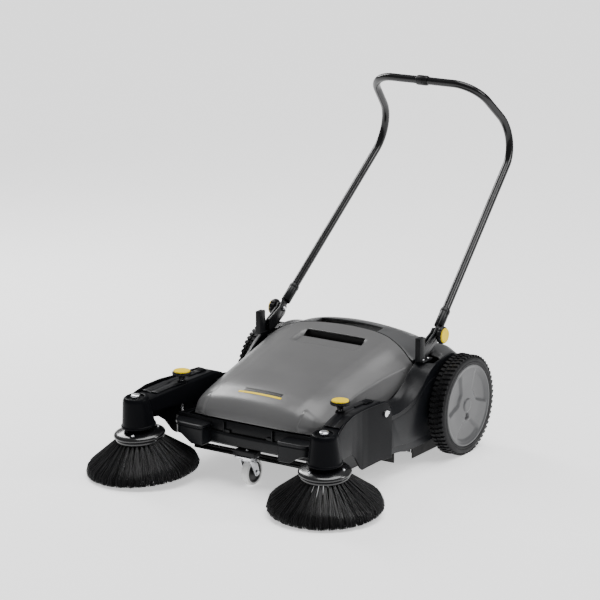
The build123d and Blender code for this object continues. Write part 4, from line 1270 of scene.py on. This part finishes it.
def rim_parts():
    barrel = [(RIM_R - 4, 306), (RIM_R - 0.2, 306), (RIM_R - 0.2, 349), (RIM_R - 4, 349)]
    hub = [(10.1, 307), (21, 307), (22, 308), (22, 336), (10.1, 336)]
    return [rim_disc(), on_axle(wheel, barrel, 120, ring=True), on_axle(wheel, hub, 64, ring=True)]


pair("tyre_carcass", tyre, "tyre_rubber", "wheel_{}", ["tyre_{}"])
pair("wheel_rim_disc", rim_parts, "wheel_grey", "wheel_{}", ["wheel_rim_{}"], 30)
LUG_COUNT = 58
LUG_ROWS = [("outer", 0.3430, 0.0150, 0.0098, 0.22, 0.0), ("inner", 0.3130, 0.0150, 0.0098, -0.22, 0.5),
            ("middle", 0.328, 0.0120, 0.0040, 0.0, 0.25)]
for side in SIDES:
    for row, offset, width, length, skew, shift in LUG_ROWS:
        low = row == "middle"
        inputs = {"Count": LUG_COUNT, "Radius": (wheel_r - (3.6 if low else 2.6)) * MM, "Offset": offset,
                  "Width": width,
                  "Length": length, "Height": 0.0052 if not low else 0.0045, "Skew": skew, "Shift": shift}
        mesh = grown(LUGS, inputs, MATERIALS["tyre_rubber"])
        moved_mesh(mesh, Matrix.Translation((0, wheel.y * MM, wheel.z * MM)), side == "right")
        put(mesh, f"tread_lugs_{row}_{side}", f"wheel_{side}", ())

# ---------------------------------------------------------------- main roller
roller_inputs = {"Strands": 9000, "Rows": 10, "Core radius": 0.054, "Tip radius": 0.1235,
                 "Half length": 0.237,
                 "Wind": 2.4, "Thickness": 0.0007, "Seed": 5}
roller_mesh = grown(ROLLER_BRUSH, roller_inputs, MATERIALS["bristle_black"])
moved_mesh(roller_mesh, Matrix.Translation((0, roller.y * MM, roller.z * MM)))
put(roller_mesh, "roller_bristle_rows", "roller", ["roller_bristles"])

# ---------------------------------------------------------------- push handle
HANDLE_R = 11.5
hinge = Vector((262, clamp.y, clamp.z))
BEND, CORNER = Vector((217.5, 678, 818)), Vector((176.5, 493, 994))
leg = (BEND - hinge).normalized()


def handle_tube():
    path = rounded_path([hinge + leg * 32.2, BEND, CORNER, (0.3, CORNER.y, CORNER.z)], (100, 87))
    return [tube(path, HANDLE_R, 36, HANDLE_R - 1.5)]


def handle_sleeve():
    profile = [(HANDLE_R + 0.1, -19), (HANDLE_R + 1.6, -19), (HANDLE_R + 3.4, -14), (HANDLE_R + 3.6, 3),
               (HANDLE_R + 2.6, 3.8), (HANDLE_R + 1.9, 4.4), (HANDLE_R + 1.9, 6.6), (HANDLE_R + 2.6, 7.2),
               (HANDLE_R + 3.6, 8), (HANDLE_R + 3.4, 15), (HANDLE_R + 1.6, 19), (HANDLE_R + 0.1, 19)]
    return [on_axle(CORNER, profile, 64, ring=True)]


pair("handle_tube_bent", handle_tube, "handle_paint", "handle", ["handle_tube_{}"], 60)
piece("handle_joint_sleeve", handle_sleeve(), "knob_black", "handle", ["handle_sleeve"])


def socket_collar():
    """Moulded end of the socket, tapered onto the tube."""
    collar = [(HANDLE_R + 0.1, 74), (HANDLE_R + 2.9, 74), (HANDLE_R + 3.2, 76), (HANDLE_R + 2.9, 83),
              (HANDLE_R + 1.6, 86), (HANDLE_R + 0.1, 86.5)]
    return [lathe(hinge, leg, collar, 64, ring=True)]


piece("handle_socket_pair", [from_cad("handle_sockets", 1.0)], "chassis_black", "handle",
      ["handle_sockets"])
pair("handle_socket_collar", socket_collar, "knob_black", "handle")
piece("handle_bracket_pair", [from_cad("handle_brackets", 0.8)], "chassis_black", "chassis",
      ["handle_brackets"])
for side in SIDES:
    screws(f"bracket_screws_{side}", [((281, 46, 296.5), (0, 0, 1)), ((281, 70, 296.5), (0, 0, 1)),
                                      ((270.6, 44, 348), (1, 0, 0))],
           "chassis", "zinc", 4.0, 2.2, side == "right")

# ---------------------------------------------------------------- front caster


def caster_wheel():
    half = 11
    tread = [(29.6, -half), (35, -half), (caster_r - 0.8, -half + 2), (caster_r, -half + 5),
             (caster_r, half - 5),
             (caster_r - 0.8, half - 2), (35, half), (29.6, half)]
    return [on_axle(caster_hub, tread, ring=True)]


def caster_core():
    core = [(4.1, -14), (9, -14), (10, -13), (10, -8), (14, -7.4), (24, -7.4), (25, -9.6), (26, -10.6),
            (29.4, -10.6),
            (29.4, 10.6), (26, 10.6), (25, 9.6), (24, 7.4), (14, 7.4), (10, 8), (10, 13), (9, 14),
            (4.1, 14)]
    return [on_axle(caster_hub, core, ring=True)]


def caster_bolt():
    """Hexagon head, shank and nut."""
    parts = [on_axle(caster_hub, [(0, -22), (4, -22), (4, 22), (0, 22)], 32)]
    for x0, x1 in ((-22.5, -18.5), (18.5, 22.5)):
        hexagon = [(caster_hub.y + 7 * cos(tau * k / 6),
                    caster_hub.z + 7 * sin(tau * k / 6)) for k in range(6)]
        parts.append(rounded(prism(hexagon, x0, x1), 0.6, 2))
    return parts


piece("caster_tread", caster_wheel(), "caster_white", "caster_roll", ["caster_tyre"])
piece("caster_core", caster_core(), "caster_hub", "caster_roll", ["caster_wheel"])
piece("caster_axle_bolt", caster_bolt(), "zinc", "caster_swivel", ["caster_bolt"])
piece("caster_fork_pressed", [from_cad("caster_fork", 0.7)], "zinc", "caster_swivel", ["caster_fork"])
piece("caster_plate_pressed", [from_cad("caster_plate", 0.6)], "zinc", "chassis", ["caster_plate"])

# ---------------------------------------------------------------- the CAD nodes that are shown as they are
for row in frame["record"]["subparts"]:
    node = frame["nodes"][row["node"]]
    for held in node.material_slots:
        held.material = MATERIALS[row["material_slot"]]

# ---------------------------------------------------------------- floor, light and camera


def stage_material():
    material = bpy.data.materials.new("studio_floor")
    material.use_nodes = True
    tree = material.node_tree
    surface = tree.nodes["Principled BSDF"]
    place = add(tree, "ShaderNodeTexCoord").outputs["Object"]
    drift = add(tree, "ShaderNodeTexNoise", {"Vector": place, "Scale": 3.0})
    colour = blend(tree, drift.outputs["Fac"], (0.93, 0.93, 0.935, 1), (0.95, 0.95, 0.955, 1))
    tree.links.new(colour, surface.inputs["Base Color"])
    surface.inputs["Roughness"].default_value = 0.6
    surface.inputs["Emission Color"].default_value = (1, 1, 1, 1)
    surface.inputs["Emission Strength"].default_value = 0.7
    return material


FLOOR_HALF, FLOOR_Z = 30, -0.0006
floor_corners = [(x * FLOOR_HALF, y * FLOOR_HALF, FLOOR_Z) for x, y in ((-1, -1), (1, -1), (1, 1), (-1, 1))]
floor_mesh = bpy.data.meshes.new("studio_floor")
floor_mesh.from_pydata(floor_corners, [], [(0, 1, 2, 3)])
floor_mesh.materials.append(stage_material())
floor = bpy.data.objects.new("studio_floor", floor_mesh)
bpy.context.scene.collection.objects.link(floor)

world = bpy.data.worlds.new("studio")
bpy.context.scene.world = world
world.use_nodes = True
world.node_tree.nodes["Background"].inputs["Color"].default_value = (1, 1, 1, 1)
world.node_tree.nodes["Background"].inputs["Strength"].default_value = 0.30


def softbox(name, place, aim, size, power):
    light = bpy.data.lights.new(name, "AREA")
    light.shape, light.size, light.size_y, light.energy = "RECTANGLE", size[0], size[1], power
    lamp = bpy.data.objects.new(name, light)
    lamp.location = place
    lamp.rotation_euler = (Vector(aim) - Vector(place)).to_track_quat("-Z", "Y").to_euler()
    bpy.context.scene.collection.objects.link(lamp)


overhead = bpy.data.lights.new("overhead", "SUN")
overhead.energy, overhead.angle = 3.0, radians(46)
overhead_lamp = bpy.data.objects.new("overhead", overhead)
overhead_lamp.rotation_euler = (radians(-8), radians(6), 0)
bpy.context.scene.collection.objects.link(overhead_lamp)
softbox("right_softbox", (2.9, 1.2, 2.4), (0.2, 0.0, 0.25), (0.8, 1.6), 45)
softbox("left_softbox", (-2.4, 0.9, 2.3), (-0.1, -0.1, 0.3), (0.7, 2.0), 60)

azimuth, elevation, distance = radians(33.7), radians(14.4), 7.3837
back = Vector((sin(azimuth) * cos(elevation), -cos(azimuth) * cos(elevation), sin(elevation)))
camera_data = bpy.data.cameras.new("camera")
camera_data.lens, camera_data.sensor_width = 160.76, 36.0
camera = bpy.data.objects.new("camera", camera_data)
camera.location = Vector((0.0178, -0.17835, 0.479)) + back * distance
camera.rotation_euler = (-back).to_track_quat("-Z", "Y").to_euler()
bpy.context.scene.collection.objects.link(camera)
bpy.context.scene.camera = camera
